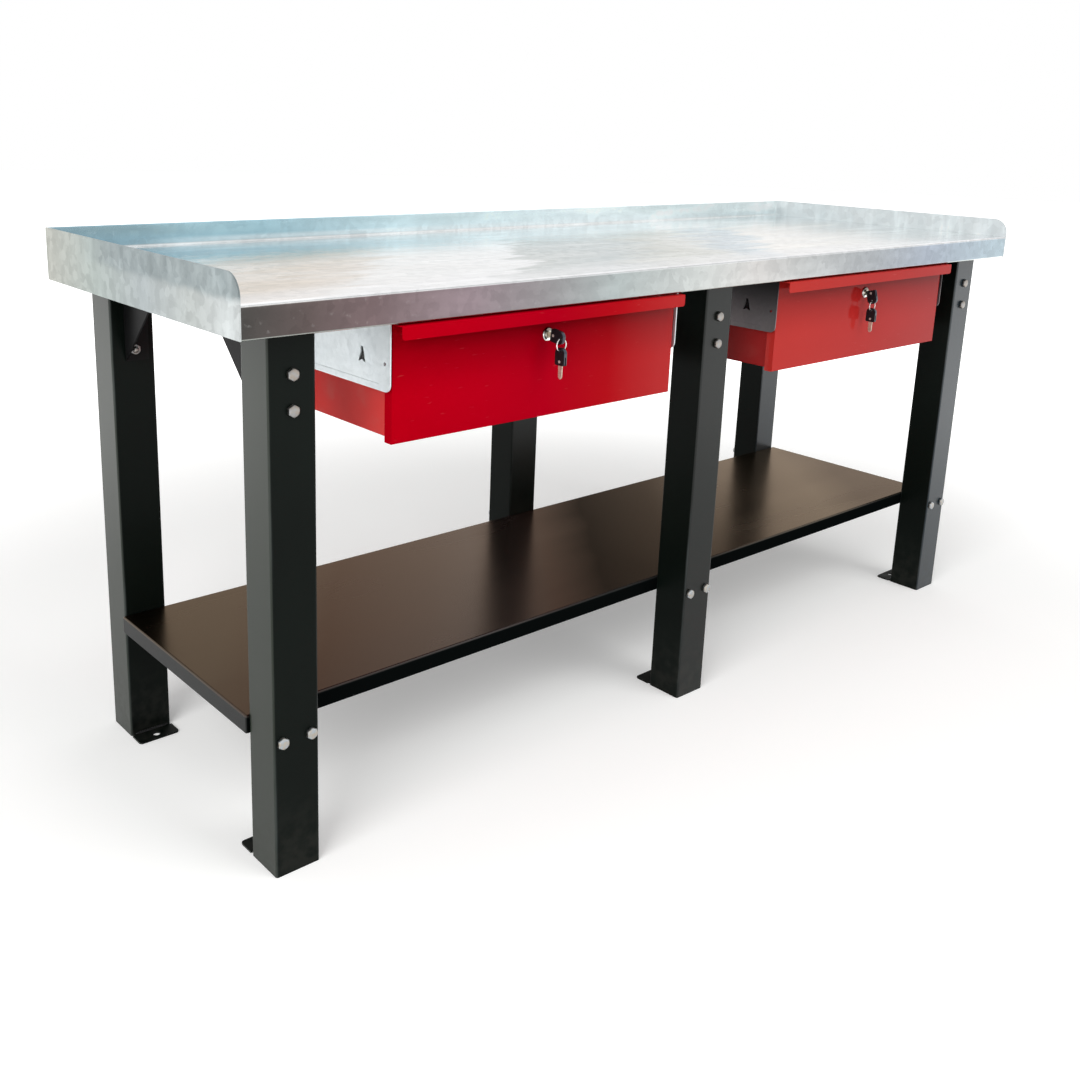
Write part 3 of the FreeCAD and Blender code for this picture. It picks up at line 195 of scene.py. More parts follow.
def leg_paint():
    """Black coat; bends are paler, where |x| and |y| both come within a few millimetres of an edge:
    rubbed wear with a painted highlight. The fronts of the right legs and the left faces of the
    left legs carry a painted sheen, and the outer coat is fuller on the left faces of the left legs
    and on the front of the others."""
    material, place = new_material("satin_black_legs")
    x, y, z = axes(place)
    bend = 1 - rise(near(abs(x), -leg_low.x, -leg_high.x, centre_high.x), 0.0012, 0.0045)
    bend = bend * (1 - rise(near(abs(y), -leg_low.y, -leg_back), 0.0012, 0.0045))
    rubbed = bend * rise(noise(place, 0.03, (1, 1, 6)), 0.42, 0.66)
    dust = (1 - rise(z, 0.0, 0.16)) * rise(noise(place, 0.02), 0.35, 0.7)
    cloud = noise(place, 0.11, (1, 1, 2.5), seed=4)
    facing = axes(place.other("Normal"))
    left_face, front_face = rise(0 - facing[0], 0.3, 0.8), rise(0 - facing[1], 0.3, 0.8)
    colour = mix(cloud, (0.002, 0.0028, 0.0023), (0.005, 0.0085, 0.0065))
    # Painted sheen: blue grey on the fronts of the right legs, grey green on the left faces of the
    # left legs.
    colour = mix(front_face * rise(x, 0.2, 0.9), colour, (0.006, 0.015, 0.022))
    colour = mix(left_face * (1 - rise(x, -0.7, -0.3)), colour, (0.010, 0.016, 0.009))
    # Painted highlight and rubbed wear along the bends.
    colour = mix(rubbed * 0.4, colour, (0.05, 0.062, 0.062))
    colour = mix(dust * 0.2, colour, (0.06, 0.057, 0.05))
    fuller = left_face * (0.05 + 0.55 * (1 - rise(x, -0.7, -0.2)))
    fuller = fuller + front_face * (0.06 + 0.44 * rise(x, -0.7, -0.1) + 0.36 * rise(x, 0.2, 0.8))
    peel = noise(place, 0.0016, detail=1.0)
    roughness = 0.34 + 0.14 * cloud + 0.2 * dust - 0.08 * rubbed
    return coat(material, place, colour, roughness, 0.00003 * peel,
                coat_weight=fuller + 0.1 * rubbed, coat_roughness=0.24, specular_ior_level=0.05)


dress(leg_paint(), *LEGS)


# ------------------------------------------------------------------------------------ foot welds
# Each foot tab is closed to its leg with one run of weld, ground off by hand and coated with the
# leg, so that its ripples show as a dark rough bead along the foot of the inner face.

def grid_mesh(name, points, material):
    """A mesh and its object over grids of points, of shape copies x rows x columns x 3, whose
    columns close into rings."""
    points = np.asarray(points, float)
    points = points.reshape(-1, *points.shape[-3:])
    index = np.arange(points[..., 0].size).reshape(points.shape[:3])
    index = np.concatenate([index, index[:, :, :1]], axis=2)
    faces = np.stack([index[:, :-1, :-1], index[:, 1:, :-1], index[:, 1:, 1:],
                      index[:, :-1, 1:]], axis=-1)
    mesh = bpy.data.meshes.new(name)
    mesh.from_pydata(points.reshape(-1, 3).tolist(), [], faces.reshape(-1, 4).tolist())
    mesh.materials.append(material)
    piece = bpy.data.objects.new(name, mesh)
    bpy.context.scene.collection.objects.link(piece)
    return mesh, piece


def skin(name, points, material, body):
    """A smooth closed piece over rings of points; a ring of no size closes an end."""
    mesh, piece = grid_mesh(name, points, material)
    tidy = bmesh.new()
    tidy.from_mesh(mesh)
    bmesh.ops.remove_doubles(tidy, verts=tidy.verts, dist=1e-6)
    bmesh.ops.dissolve_degenerate(tidy, edges=tidy.edges, dist=1e-7)
    bmesh.ops.recalc_face_normals(tidy, faces=tidy.faces)
    tidy.to_mesh(mesh)
    tidy.free()
    for face in mesh.polygons:
        face.use_smooth = True
    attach(piece, body)
    return piece


def bead(start, end, radius, ripple, turns=16):
    """A weld bead from start to end: rings of the radius times 1 + 0.18 sin of the place along it
    in ripples, flattened to 0.7 upwards and closed at each end by a ring of no size."""
    start, end = np.array(start, float), np.array(end, float)
    length = np.linalg.norm(end - start)
    along = (end - start) / length
    across = np.cross(along, (0.0, 0.0, 1.0))
    across /= np.linalg.norm(across)
    up = np.cross(across, along)
    s = np.linspace(0, 1, 4 * round(length / ripple))
    shape = np.minimum(1, 6 * np.minimum(s, 1 - s)) ** 0.5
    r = radius * shape * (1 + 0.18 * np.sin(2 * np.pi * s * length / ripple))
    angle = np.linspace(0, 2 * np.pi, turns, endpoint=False)
    ring = np.cos(angle)[:, None] * across + 0.7 * np.sin(angle)[:, None] * up
    return start + (s * length)[:, None, None] * along + r[:, None, None] * ring


def weld_paint():
    """The black coat over a rough bead: grey where its crests are rubbed."""
    material, place = new_material("coated_weld")
    grain = noise(place, 0.0022)
    colour = mix(rise(grain, 0.5, 0.75), (0.010, 0.010, 0.011), (0.07, 0.07, 0.07))
    return coat(material, place, colour, 0.38 + 0.25 * grain, 0.0002 * grain,
                specular_ior_level=0.5)


WELD_INSET, WELD_OUT, WELD_HEIGHT = 0.006, 0.0036, 0.0048
WELD_RADIUS, WELD_RIPPLE = 0.0026, 0.0045
welds = []
for name in LEGS:
    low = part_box(name)[0]
    y = math.copysign(abs(leg_back) - WELD_OUT, low.y)
    welds.append(bead((low.x + WELD_INSET, y, WELD_HEIGHT),
                      (low.x + LEG_WIDTH - WELD_INSET, y, WELD_HEIGHT), WELD_RADIUS, WELD_RIPPLE))
skin("foot_welds", welds, weld_paint(), "bench")


# ------------------------------------------------------------------------- cross-beams and shelf
# Three folded cross-beams join front and rear legs, and a folded tray between the legs is the
# shelf, with a rib under it. They have the legs' coat, smoother on the flat of the shelf.

def beam_paint():
    """Black coat with soft clouds of gloss."""
    material, place = new_material("satin_black_beams")
    cloud = noise(place, 0.09, (1, 2, 1), seed=2)
    colour = mix(cloud, (0.004, 0.004, 0.0045), (0.009, 0.009, 0.009))
    peel = noise(place, 0.0016, detail=1.0)
    return coat(material, place, colour, 0.36 + 0.16 * cloud, 0.00003 * peel,
                specular_ior_level=0.10)


def shelf_paint():
    """Black coat with a painted reflection of the room at a low angle in brown tones: fuller and
    thinner bands cross the top, its flanges are plain black but for a painted highlight along the
    top of the front and rear edges, and wiped arcs and dust specks lie on it."""
    material, place = new_material("satin_black_shelf")
    x, y, z = axes(place)
    low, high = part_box("shelf")
    wiped = noise(place, 0.16, (3.0, 0.6, 1), seed=7)
    band = x - 0.8 * y + 0.06 * wiped - 0.03
    # Painted reflection of the room in brown bands across the top.
    painted_reflection = ramp(band, -1.1, 1.1, (-1.0, (0.070, 0.052, 0.036)), (-0.88, (0.068, 0.050, 0.035)),
                (-0.66, (0.042, 0.021, 0.016)), (-0.44, (0.062, 0.044, 0.039)),
                (-0.33, (0.076, 0.060, 0.056)), (-0.13, (0.036, 0.018, 0.015)),
                (0.0, (0.010, 0.007, 0.006)), (0.25, (0.020, 0.013, 0.009)),
                (0.57, (0.095, 0.074, 0.054)), (0.75, (0.120, 0.096, 0.070)),
                (0.90, (0.050, 0.038, 0.030)))
    full = grey_ramp(band, -1.1, 1.1, (-1.0, 1.0), (-0.30, 1.0), (-0.13, 0.60), (0.0, 0.22),
                     (0.22, 0.42), (0.50, 1.0), (1.0, 0.95))
    top = rise(z, high.z - 0.004, high.z - 0.001)
    specks = rise(noise(place, 0.0035, detail=1.0, seed=3), 0.74, 0.8)
    colour = mix(top, (0.003, 0.004, 0.004), painted_reflection)
    colour = mix(specks * top * 0.2, colour, (0.16, 0.15, 0.14))
    # Painted highlight along the top of the front and rear edges.
    edge = 1 - rise(near(y, low.y, high.y), 0.001, 0.004)
    edge = edge * rise(z, high.z - 0.005, high.z - 0.002)
    colour = mix(edge * 0.25, colour, (0.09, 0.10, 0.10))
    left_edge = rise(0 - axes(place.other("Normal"))[0], 0.3, 0.8)
    peel = noise(place, 0.0018, detail=1.0)
    return coat(material, place, colour, 0.20 + 0.12 * wiped, 0.00002 * peel, metallic=full * top,
                coat_weight=0.6 * left_edge, coat_roughness=0.24, specular_ior_level=0.0,
                specular_tint=(0.92, 0.80, 0.70, 1.0))


dress(beam_paint(), "cross_beam_left", "cross_beam_centre", "cross_beam_right", "shelf_rib")
dress(shelf_paint(), "shelf")


# ------------------------------------------------------------------------------- bolts and nuts
# M10 hexagon bolts hold the legs to the cross-beams and to the shelf, with a nut inside. They are
# bright zinc plated, forged with a chamfered crown, and their rolled thread stands out of the nut.

def zinc_paint(name, tint):
    """Bright zinc: faint blue and straw clouds of the passivate, greyer in small spots, and browner
    in the shade of the top."""
    material, place = new_material(name)
    cloud = noise(place, 0.006, seed=1)
    colour = mix(rise(cloud, 0.35, 0.65), tint, (0.50, 0.46, 0.40))
    colour = mix(0.6 * rise(axes(place)[2], 0.4, 0.7), colour, (0.19, 0.16, 0.14))
    colour = mix(rise(noise(place, 0.002), 0.62, 0.75) * 0.5, colour, (0.36, 0.36, 0.37))
    grain = noise(place, 0.0007, detail=1.0)
    return coat(material, place, colour, 0.24 + 0.2 * cloud, 0.00002 * grain, metallic=0.9)


CROWN_SHARE, CHAMFER = 0.475, math.tan(math.radians(30))


def hexagon(angle, flats):
    """Distance from the middle of a hexagon to its side: half the flats over the cosine of the
    angle from the nearest side's middle."""
    return flats / 2 / np.cos((angle + np.pi / 6) % (np.pi / 3) - np.pi / 6)


def round_y(middle, out, rows):
    """Rings about a line along Y: rows holds each ring's radii and its depths, inward from out."""
    angle = np.linspace(0, 2 * np.pi, rows.shape[-1], endpoint=False)
    return np.stack([middle[0] + rows[:, 0] * np.cos(angle), middle[1] - out * rows[:, 1],
                     middle[2] + rows[:, 0] * np.sin(angle)], axis=-1)


def bolt(middle, out, flats, head, radius, length, thread, pitch, turns=48):
    """A bolt as rings of radii and depths: a crown chamfered at 30 degrees, the hexagon, a plain
    shank and a thread whose radius falls 0.55 pitch times the triangle wave of depth less turn."""
    angle = np.linspace(0, 2 * np.pi, turns, endpoint=False)
    hexa, circle = hexagon(angle, flats), np.full(turns, 1.0)
    crown, edge = CROWN_SHARE * flats, 0.0003
    rows = [(0 * circle, -head * circle), (crown * 0.86 * circle, -head * circle),
            (crown * circle, (-head + edge) * circle),
            (hexa, -head + edge + (hexa - crown) * CHAMFER),
            (hexa, 0 * circle), (radius * circle, 0 * circle),
            (radius * circle, (length - thread) * circle)]
    for d in np.arange(length - thread, length - 0.001, pitch / 8):
        wave = np.abs(((d / pitch - angle / (2 * np.pi)) % 1) * 2 - 1)
        rows.append((radius - 0.55 * pitch * wave, d * circle))
    rows += [((radius - 0.6 * pitch) * circle, (length - 0.0002) * circle),
             (0 * circle, length * circle)]
    return round_y(middle, out, np.array(rows))


def nut(middle, out, flats, height, radius, turns=48):
    """A nut as rings round a hole: both faces chamfered at 30 degrees, closed through the hole."""
    angle = np.linspace(0, 2 * np.pi, turns, endpoint=False)
    hexa, circle = hexagon(angle, flats), np.full(turns, 1.0)
    crown = CROWN_SHARE * flats
    fall = (hexa - crown) * CHAMFER
    rows = [(radius * circle, 0 * circle), (crown * circle, 0 * circle), (hexa, fall),
            (hexa, height - fall), (crown * circle, height * circle),
            (1.08 * radius * circle, height * circle),
            (radius * circle, (height - 0.0004) * circle), (radius * circle, 0 * circle)]
    return round_y(middle, out, np.array(rows))


def corners(node):
    """A CAD node's vertices as an array."""
    flat = np.zeros(3 * len(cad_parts[node].data.vertices))
    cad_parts[node].data.vertices.foreach_get("co", flat)
    return flat.reshape(-1, 3)


def middle_x(node):
    """The middle of a CAD node along the bench."""
    low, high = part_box(node)
    return (low.x + high.x) / 2


FLATS, SHANK_RADIUS, PITCH, PAST_NUT, NUT_BORE = 0.016, 0.005, 0.0015, 0.008, 0.0051
HALF_CORNERS = FLATS / 2 / math.cos(math.pi / 6)
zinc = zinc_paint("bright_zinc", (0.46, 0.50, 0.53))
leg_middles = [middle_x(f"leg_front_{column}") for column in COLUMNS]
for kind in ("leg", "shelf"):
    bolts, nuts = corners(f"{kind}_bolts"), corners(f"{kind}_nuts")
    low, high = bolts.min(axis=0), bolts.max(axis=0)
    if kind == "leg":
        heights = (low[2] + HALF_CORNERS, high[2] - HALF_CORNERS)
        places = [(x, z) for x in leg_middles for z in heights]
    else:
        height, apart = (low[2] + high[2]) / 2, leg_middles[0] - low[0] - FLATS / 2
        places = [(x + s * apart, height) for x in leg_middles for s in (-1, 1)]
    face, tip = -leg_low.y, np.abs(bolts[:, 1]).min()
    seat, nut_end = np.abs(nuts[:, 1]).max(), np.abs(nuts[:, 1]).min()
    ends = [(x, z, out) for x, z in places for out in (-1, 1)]
    made = [bolt((x, out * face, z), out, FLATS, high[1] - face, SHANK_RADIUS, face - tip,
                 seat - tip + PAST_NUT, PITCH) for x, z, out in ends]
    piece = skin(f"{kind}_bolt_set", made, zinc, "bench")
    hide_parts(f"{kind}_bolts")
    made = [nut((x, out * seat, z), out, FLATS, seat - nut_end, NUT_BORE) for x, z, out in ends]
    piece = skin(f"{kind}_nut_set", made, zinc, "bench")
    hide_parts(f"{kind}_nuts")
dress(zinc, "beam_screws", "hanger_screws")


# -------------------------------------------------------------------------------------- worktop
# The top is one folded galvanised sheet with an upstand behind, closed by an end cheek on each
# side. The zinc is smooth and nearly a mirror, with faint spangle, rolling lines and wipe marks.

def spangle(place, size):
    """Zinc crystals: cells of that size with bent borders, each with one shade from 0 to 1."""
    moved = place.node("Mapping", values={"Vector": place, "Scale": (1 / size, 1 / size, 1 / size)})
    bend = place.node("TexNoise", values={"Vector": moved, "Scale": 1.3, "Detail": 2.0}, out=1)
    bent = place.node("VectorMath", {"operation": "MULTIPLY_ADD"},
                      {0: bend, 1: (0.9, 0.9, 0.9), 2: moved})
    cell = place.node("TexVoronoi", values={"Vector": bent, "Scale": 1.0}, out="Color")
    return place.node("SeparateColor", values={0: cell})


def scaled(colour, lightness):
    """A colour made lighter or darker."""
    return colour.node("VectorMath", {"operation": "SCALE"}, {0: colour, "Scale": lightness})


def zinc_sheet(name, tone, roughness, streak=(6, 1, 1), size=0.014, depth=0.00002, worn=1.0):
    """Galvanised sheet: tone(place) is its broad colour; crystals and long wipe marks make it up to
    a fifth lighter or darker as it is worn, with white bloom and fine lines from the rolling.
    Roughness is its least value and what the wipe marks add."""
    material, place = new_material(name)
    crystal = spangle(place, size)
    wiped = noise(place, 0.035, streak, detail=5.0, seed=5)
    bloom = rise(noise(place, 0.011, detail=5.0, seed=9), 0.60, 0.78)
    lightness = 1 + worn * (0.20 * rise(wiped, 0.45, 0.75) - 0.10 * crystal - 0.04)
    colour = mix(0.10 * worn * bloom, scaled(tone(place), lightness), (0.90, 0.90, 0.88))
    rough = roughness[0] + roughness[1] * wiped + 0.08 * crystal + 0.12 * bloom
    rolled = noise(place, 0.0012, tuple(12 * s if s > 1 else 1 for s in streak), detail=2.0)
    height = depth * crystal + 0.5 * depth * rolled
    return coat(material, place, colour, rough, height, metallic=0.92)


top_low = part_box("worktop_skin")[0]
surface = 0.868


def flat_tone(x, y, place):
    """The working surface: a painted reflection of a room, in broken bands of white, straw,
    grey-green and blue that cross it, paler along its front edge and towards the upstand."""
    ragged = noise(place, 0.07, (3.0, 1, 1), detail=5.0, seed=11)
    broken = noise(place, 0.018, (6.0, 1, 1), detail=3.0, seed=17)
    band = 0.76 * x - 0.65 * y + 0.22 * ragged + 0.10 * broken - 0.16
    flat = ramp(band, -0.95, 0.95, (-0.86, (0.44, 0.50, 0.52)), (-0.70, (0.77, 0.76, 0.71)),
                (-0.61, (0.57, 0.48, 0.37)), (-0.53, (0.61, 0.50, 0.38)),
                (-0.46, (0.68, 0.59, 0.50)), (-0.42, (0.85, 0.83, 0.81)),
                (-0.20, (0.88, 0.88, 0.89)), (-0.17, (0.38, 0.42, 0.40)),
                (-0.02, (0.33, 0.40, 0.41)), (0.08, (0.40, 0.41, 0.34)),
                (0.18, (0.57, 0.58, 0.53)), (0.25, (0.36, 0.47, 0.54)),
                (0.30, (0.50, 0.60, 0.66)), (0.34, (0.88, 0.85, 0.80)),
                (0.56, (0.86, 0.84, 0.80)), (0.70, (0.84, 0.87, 0.87)))
    streaks = rise(noise(place, 0.05, (5.0, 0.8, 1), detail=6.0, seed=31), 0.46, 0.60)
    flat = mix(0.22 * streaks, flat, (0.80, 0.82, 0.82))
    flat = mix(0.55 * (1 - rise(y, -0.30, -0.22)), flat, (0.87, 0.86, 0.88))
    # Painted reflection of the upstand towards the back.
    rear = ramp(x, -1, 1, (-0.9, (0.48, 0.55, 0.58)), (-0.4, (0.66, 0.70, 0.72)),
                (-0.1, (0.87, 0.89, 0.90)), (1.0, (0.84, 0.88, 0.89)))
    return mix(rise(y, 0.06, 0.20), flat, rear)


def lip_tone(x, z):
    """The upstand: a painted reflection in pale blue, deeper at its left end, with a painted
    highlight along its foot.
    """
    lip = ramp(x, -1, 1, (-0.95, (0.32, 0.49, 0.57)), (-0.60, (0.42, 0.65, 0.74)),
               (-0.2, (0.74, 0.92, 0.97)), (0.2, (0.84, 0.96, 0.99)), (0.6, (0.90, 0.99, 1.0)),
               (1.0, (0.95, 1.0, 1.0)))
    # Painted highlight along the foot of the upstand.
    foot = (1 - rise(z, surface + 0.008, surface + 0.016)) * rise(x, -0.9, -0.6)
    return mix(0.6 * foot, lip, (0.86, 0.95, 0.97))


def apron_tone(x, z):
    """The front apron: a painted reflection, near black at its left end and blue grey at its right,
    with a painted highlight along its lower bend."""
    apron = ramp(x, -1, 1, (-1.0, (0.050, 0.048, 0.045)), (-0.90, (0.085, 0.066, 0.064)),
                 (-0.80, (0.140, 0.100, 0.104)), (-0.62, (0.210, 0.165, 0.182)),
                 (-0.48, (0.215, 0.205, 0.212)), (-0.32, (0.300, 0.335, 0.335)),
                 (-0.10, (0.48, 0.50, 0.49)), (0.05, (0.50, 0.49, 0.48)),
                 (0.20, (0.38, 0.39, 0.39)), (0.45, (0.30, 0.32, 0.34)),
                 (0.65, (0.29, 0.33, 0.39)), (1.0, (0.34, 0.43, 0.48)))
    # Painted highlight along the lower bend.
    bend = 1 - rise(z, top_low.z + 0.0008, top_low.z + 0.0030)
    return mix(bend, apron, (0.62, 0.66, 0.62))


def top_tone(place):
    """The working surface, the upstand and the apron, each in its painted tone, with painted
    highlights along the bends at the back and front, and plain grey below and behind."""
    x, y, z = axes(place)
    colour = mix(rise(z, surface + 0.0015, surface + 0.006), flat_tone(x, y, place), lip_tone(x, z))
    # Painted highlight along the bend at the foot of the upstand.
    bend = 1 - rise(near(z, surface + 0.0016), 0.0008, 0.0022)
    colour = mix(0.85 * bend * rise(y, 0.30, 0.31), colour, (0.93, 0.95, 0.95))
    front = 1 - rise(y, top_low.y + 0.001, top_low.y + 0.004)
    front = front * (1 - rise(z, surface - 0.005, surface - 0.001))
    colour = mix(front, colour, apron_tone(x, z))
    # Painted highlight along the bend at the front edge.
    front_bend_highlight = 1 - rise(near(z, surface - 0.0012), 0.0012, 0.0026)
    front_bend_highlight = front_bend_highlight * (1 - rise(y, top_low.y + 0.003, top_low.y + 0.006))
    colour = mix(0.9 * front_bend_highlight, colour, (0.96, 0.96, 0.97))
    below = (1 - rise(z, surface - 0.0022, surface - 0.0012)) * (1 - front)
    colour = mix(below, colour, (0.52, 0.54, 0.55))
    behind = rise(axes(place.other("Normal"))[1], 0.3, 0.8)
    cloud = noise(place, 0.07, (3.0, 1, 1), detail=5.0, seed=11)
    return mix(behind, colour, mix(cloud, (0.52, 0.56, 0.57), (0.64, 0.67, 0.67)))


def cheek_tone(place):
    """Painted reflections: paler at the front than behind, and darker and bluer above the working
    surface; the inner face of the right cheek is painted nearly white, as if brightly lit."""
    x, y, z = axes(place)
    blot = noise(place, 0.03, (1, 1, 2.0), detail=5.0, seed=2)
    right = rise(x, -0.1, 0.1)
    # Painted reflections on the cheeks, paler at the front and darker and bluer above the surface.
    lower = ramp(y, -0.34, 0.33, (-0.30, (0.54, 0.57, 0.57)), (-0.20, (0.46, 0.49, 0.48)),
                 (-0.05, (0.37, 0.41, 0.42)), (0.12, (0.38, 0.43, 0.41)),
                 (0.30, (0.43, 0.44, 0.40)))
    upper = rise(z + 0.012 * blot, surface + 0.002, surface + 0.016) * (1 - rise(y, 0.02, 0.20))
    dark = mix(rise(blot, 0.35, 0.7), (0.24, 0.285, 0.295), (0.33, 0.38, 0.39))
    pale = mix(blot, (0.82, 0.89, 0.91), (0.92, 0.96, 0.97))
    # The inner face of the right cheek is painted nearly white, as if brightly lit.
    inner_right = right * rise(0 - axes(place.other("Normal"))[0], 0.3, 0.8)
    return mix(inner_right, mix(0.9 * upper * (1 - right), lower, dark), pale)


def plain_tone(place):
    """Even zinc grey."""
    return mix(noise(place, 0.08, seed=6), (0.58, 0.61, 0.62), (0.70, 0.72, 0.72))


dress(zinc_sheet("galvanised_top", top_tone, (0.05, 0.12)), "worktop_skin")
dress(zinc_sheet("galvanised_cheeks", cheek_tone, (0.30, 0.2), streak=(1, 1, 5)),
      "end_cheek_left", "end_cheek_right")
plain_zinc = zinc_sheet("galvanised_plain", plain_tone, (0.28, 0.2))
dress(plain_zinc, "rear_apron", "top_stiffeners", "lock_strike_left", "lock_strike_right")


# ------------------------------------------------------------------- hanger plates and slides
# A galvanised plate hangs on each side of a drawer and carries a ball-bearing slide of three
# parts: two rolled steel channels and a cage of balls between them, lightly oiled.

def plate_tone(place):
    """Pale zinc; the plates of the right bay are painted dull with shade and reflection, and nearly
    black towards their top.
    """
    x, _, z = axes(place)
    shade = mix(noise(place, 0.12, seed=3), (0.78, 0.84, 0.87), (0.86, 0.90, 0.91))
    # Painted shade and reflection on the plates of the right bay, darkest towards their top.
    dull = mix(rise(z, 0.72, 0.83), (0.24, 0.22, 0.225), (0.03, 0.03, 0.032))
    return mix(rise(x, 0.0, 0.05), shade, dull)


plate_faces = [corner.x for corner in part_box("slide_outers_right")]


def slide_paint(name, colour, line):
    """Rolled zinc-plated steel with fine lines along the slide, a film of oil in patches, and a
    painted black shade where it lies against its plate."""
    material, place = new_material(name)
    lines = noise(place, 0.0009, (1, line, 1), detail=2.0)
    oil = rise(noise(place, 0.03, (1, 3, 1), seed=5), 0.5, 0.7)
    shade = mix(lines * 0.35, colour, (0.35, 0.34, 0.33))
    shade = mix(oil * 0.25, shade, (0.42, 0.36, 0.24))
    # Painted shade: black where the slide lies against its plate.
    plate_side_shade = 1 - rise(near(abs(axes(place)[0]), *plate_faces), 0.0006, 0.0012)
    shade = mix(plate_side_shade, shade, (0.02, 0.02, 0.02))
    return coat(material, place, shade, 0.20 + 0.16 * lines - 0.08 * oil, 0.00001 * lines,
                metallic=1.0)


plate_zinc = zinc_sheet("galvanised_plates", plate_tone, (0.42, 0.1), streak=(1, 5, 1),
                        size=0.006, depth=0.000003, worn=0.3)
dress(plate_zinc, *[f"hanger_plate_{bay}_{side}" for bay in SIDES for side in SIDES])
slide_steel = slide_paint("slide_steel", (0.66, 0.67, 0.68), 40)
ball_steel = slide_paint("ball_steel", (0.74, 0.74, 0.75), 1)
for side in SIDES:
    dress(slide_steel, f"slide_outers_{side}", f"slide_inners_{side}")
    dress(ball_steel, f"ball_cages_{side}")


# -------------------------------------------------------------------------------------- drawers
# Each drawer is a folded steel box behind a folded front whose top edge turns out into the handle
# lip. Both are sprayed gloss red; the box has a thinner, duller coat.

def red_paint(name, tone, gloss, full, coat_roughness, level):
    """Gloss red: tone and full give its colour and how full its outer coat is; slow clouds,
    orange peel, dust nibs and small scuffs."""
    material, place = new_material(name)
    cloud = noise(place, 0.14, (2, 1, 1), seed=3)
    scuff = rise(noise(place, 0.004, (7, 1, 1), detail=4.0, seed=8), 0.66, 0.74)
    colour = mix(scuff * 0.15, scaled(tone(place), 0.90 + 0.20 * cloud), (0.62, 0.16, 0.14))
    peel = noise(place, 0.0032, detail=1.0)
    nibs = rise(noise(place, 0.0012, detail=0.0, seed=6), 0.78, 0.84)
    return coat(material, place, colour, gloss + 0.10 * cloud + 0.2 * scuff,
                0.000022 * peel + 0.00004 * nibs, coat_weight=full(place),
                coat_roughness=coat_roughness, specular_ior_level=level)


def front_tone(place):
    """Crimson with painted light along the fronts, a little warmer on the right drawer and
    brightest at the left end of it, and deeper under the handle lip as painted shade.
    """
    x, y, z = axes(place)
    # Painted light along the fronts: the right drawer warmer and brightest at its left end.
    colour = ramp(x, -0.8, 0.8, (-0.75, (0.50, 0.0, 0.008)), (-0.45, (0.45, 0.0, 0.010)),
                  (-0.20, (0.47, 0.008, 0.010)), (0.15, (0.56, 0.032, 0.026)),
                  (0.45, (0.50, 0.026, 0.023)), (0.75, (0.45, 0.023, 0.022)))
    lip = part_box("drawer_front_left")[0].y + 0.02
    # Painted shade under the handle lip.
    under = rise(z, 0.70, 0.785) * rise(y, lip, lip + 0.003)
    return mix(0.40 * under, colour, (0.12, 0.0, 0.002))


def front_coat(place):
    """Thin on the left drawer up to its right end, and fuller from there to the right."""
    return grey_ramp(axes(place)[0], -0.8, 0.8, (-0.75, 0.0), (-0.31, 0.02), (-0.24, 0.15),
                     (-0.18, 0.24), (0.15, 0.17), (0.45, 0.22), (0.75, 0.36))


def box_tone(place):
    """Red, with painted light on the outer wall of the left box: it is brighter there and has more
    pale blotches.
    """
    blotch = noise(place, 0.05, (1, 1.6, 1), detail=4.0, seed=12)
    outer = 1 - rise(axes(place)[0], -0.745, -0.70)
    # Painted light: the outer wall of the left box is brighter.
    colour = mix(outer, (0.40, 0.012, 0.012), (0.84, 0.045, 0.040))
    return mix((0.06 + 0.19 * outer) * rise(blotch, 0.5, 0.7), colour, (0.66, 0.17, 0.14))


def box_coat(place):
    """Thin all over."""
    return 0.05 + 0.1 * noise(place, 0.08, seed=9)


front_red = red_paint("gloss_red_fronts", front_tone, 0.26, front_coat, 0.10, 0.0)
box_red = red_paint("red_boxes", box_tone, 0.34, box_coat, 0.2, 0.05)
for side in SIDES:
    dress(front_red, f"drawer_front_{side}")
    dress(box_red, f"drawer_box_{side}")


# ---------------------------------------------------------------------------------------- locks
# A nickel-plated cam lock is clamped through each drawer front by a nut on its threaded body. The
# plug turns with the key and swings the cam up behind the strike.

LIP_SLANT = 0.15


def nickel_paint(name, colour, dull, rough, shaded=None, metallic=1.0):
    """Nickel plate: fine turned lines and clouds of tarnish. Where z plus the slant times x is
    above shaded it is brown, as in the shade of the handle lip."""
    material, place = new_material(name)
    tarnish = noise(place, 0.004, seed=2)
    shade = mix(rise(tarnish, 0.4, 0.7), colour, dull)
    if shaded is not None:
        x, _, z = axes(place)
        above = rise(z + LIP_SLANT * x, shaded - 0.001, shaded + 0.004)
        shade = mix(0.9 * above, shade, (0.10, 0.075, 0.060))
    turned = noise(place, 0.0003, (1, 6, 1), detail=1.0)
    return coat(material, place, shade, rough + 0.15 * tarnish, 0.000006 * turned,
                metallic=metallic)


def barrel_thread(middle, start, end, radius, pitch, turns=48):
    """A thread round a lock body: rings whose radius rises 0.45 pitch times the triangle wave of
    depth less turn, and fades into the body over one pitch at both ends."""
    angle = np.linspace(0, 2 * np.pi, turns, endpoint=False)
    depth = np.arange(start, end + pitch / 16, pitch / 8)
    wave = np.abs(((depth[:, None] / pitch - angle / (2 * np.pi)) % 1) * 2 - 1)
    fade = np.minimum(1, np.minimum(depth - start, depth[-1] - depth) / pitch)[:, None]
    r = radius - 0.0002 + (0.0003 + 0.45 * pitch * wave) * fade
    return np.stack([middle[0] + r * np.cos(angle), depth[:, None] + 0 * r,
                     middle[1] + r * np.sin(angle)], axis=-1)


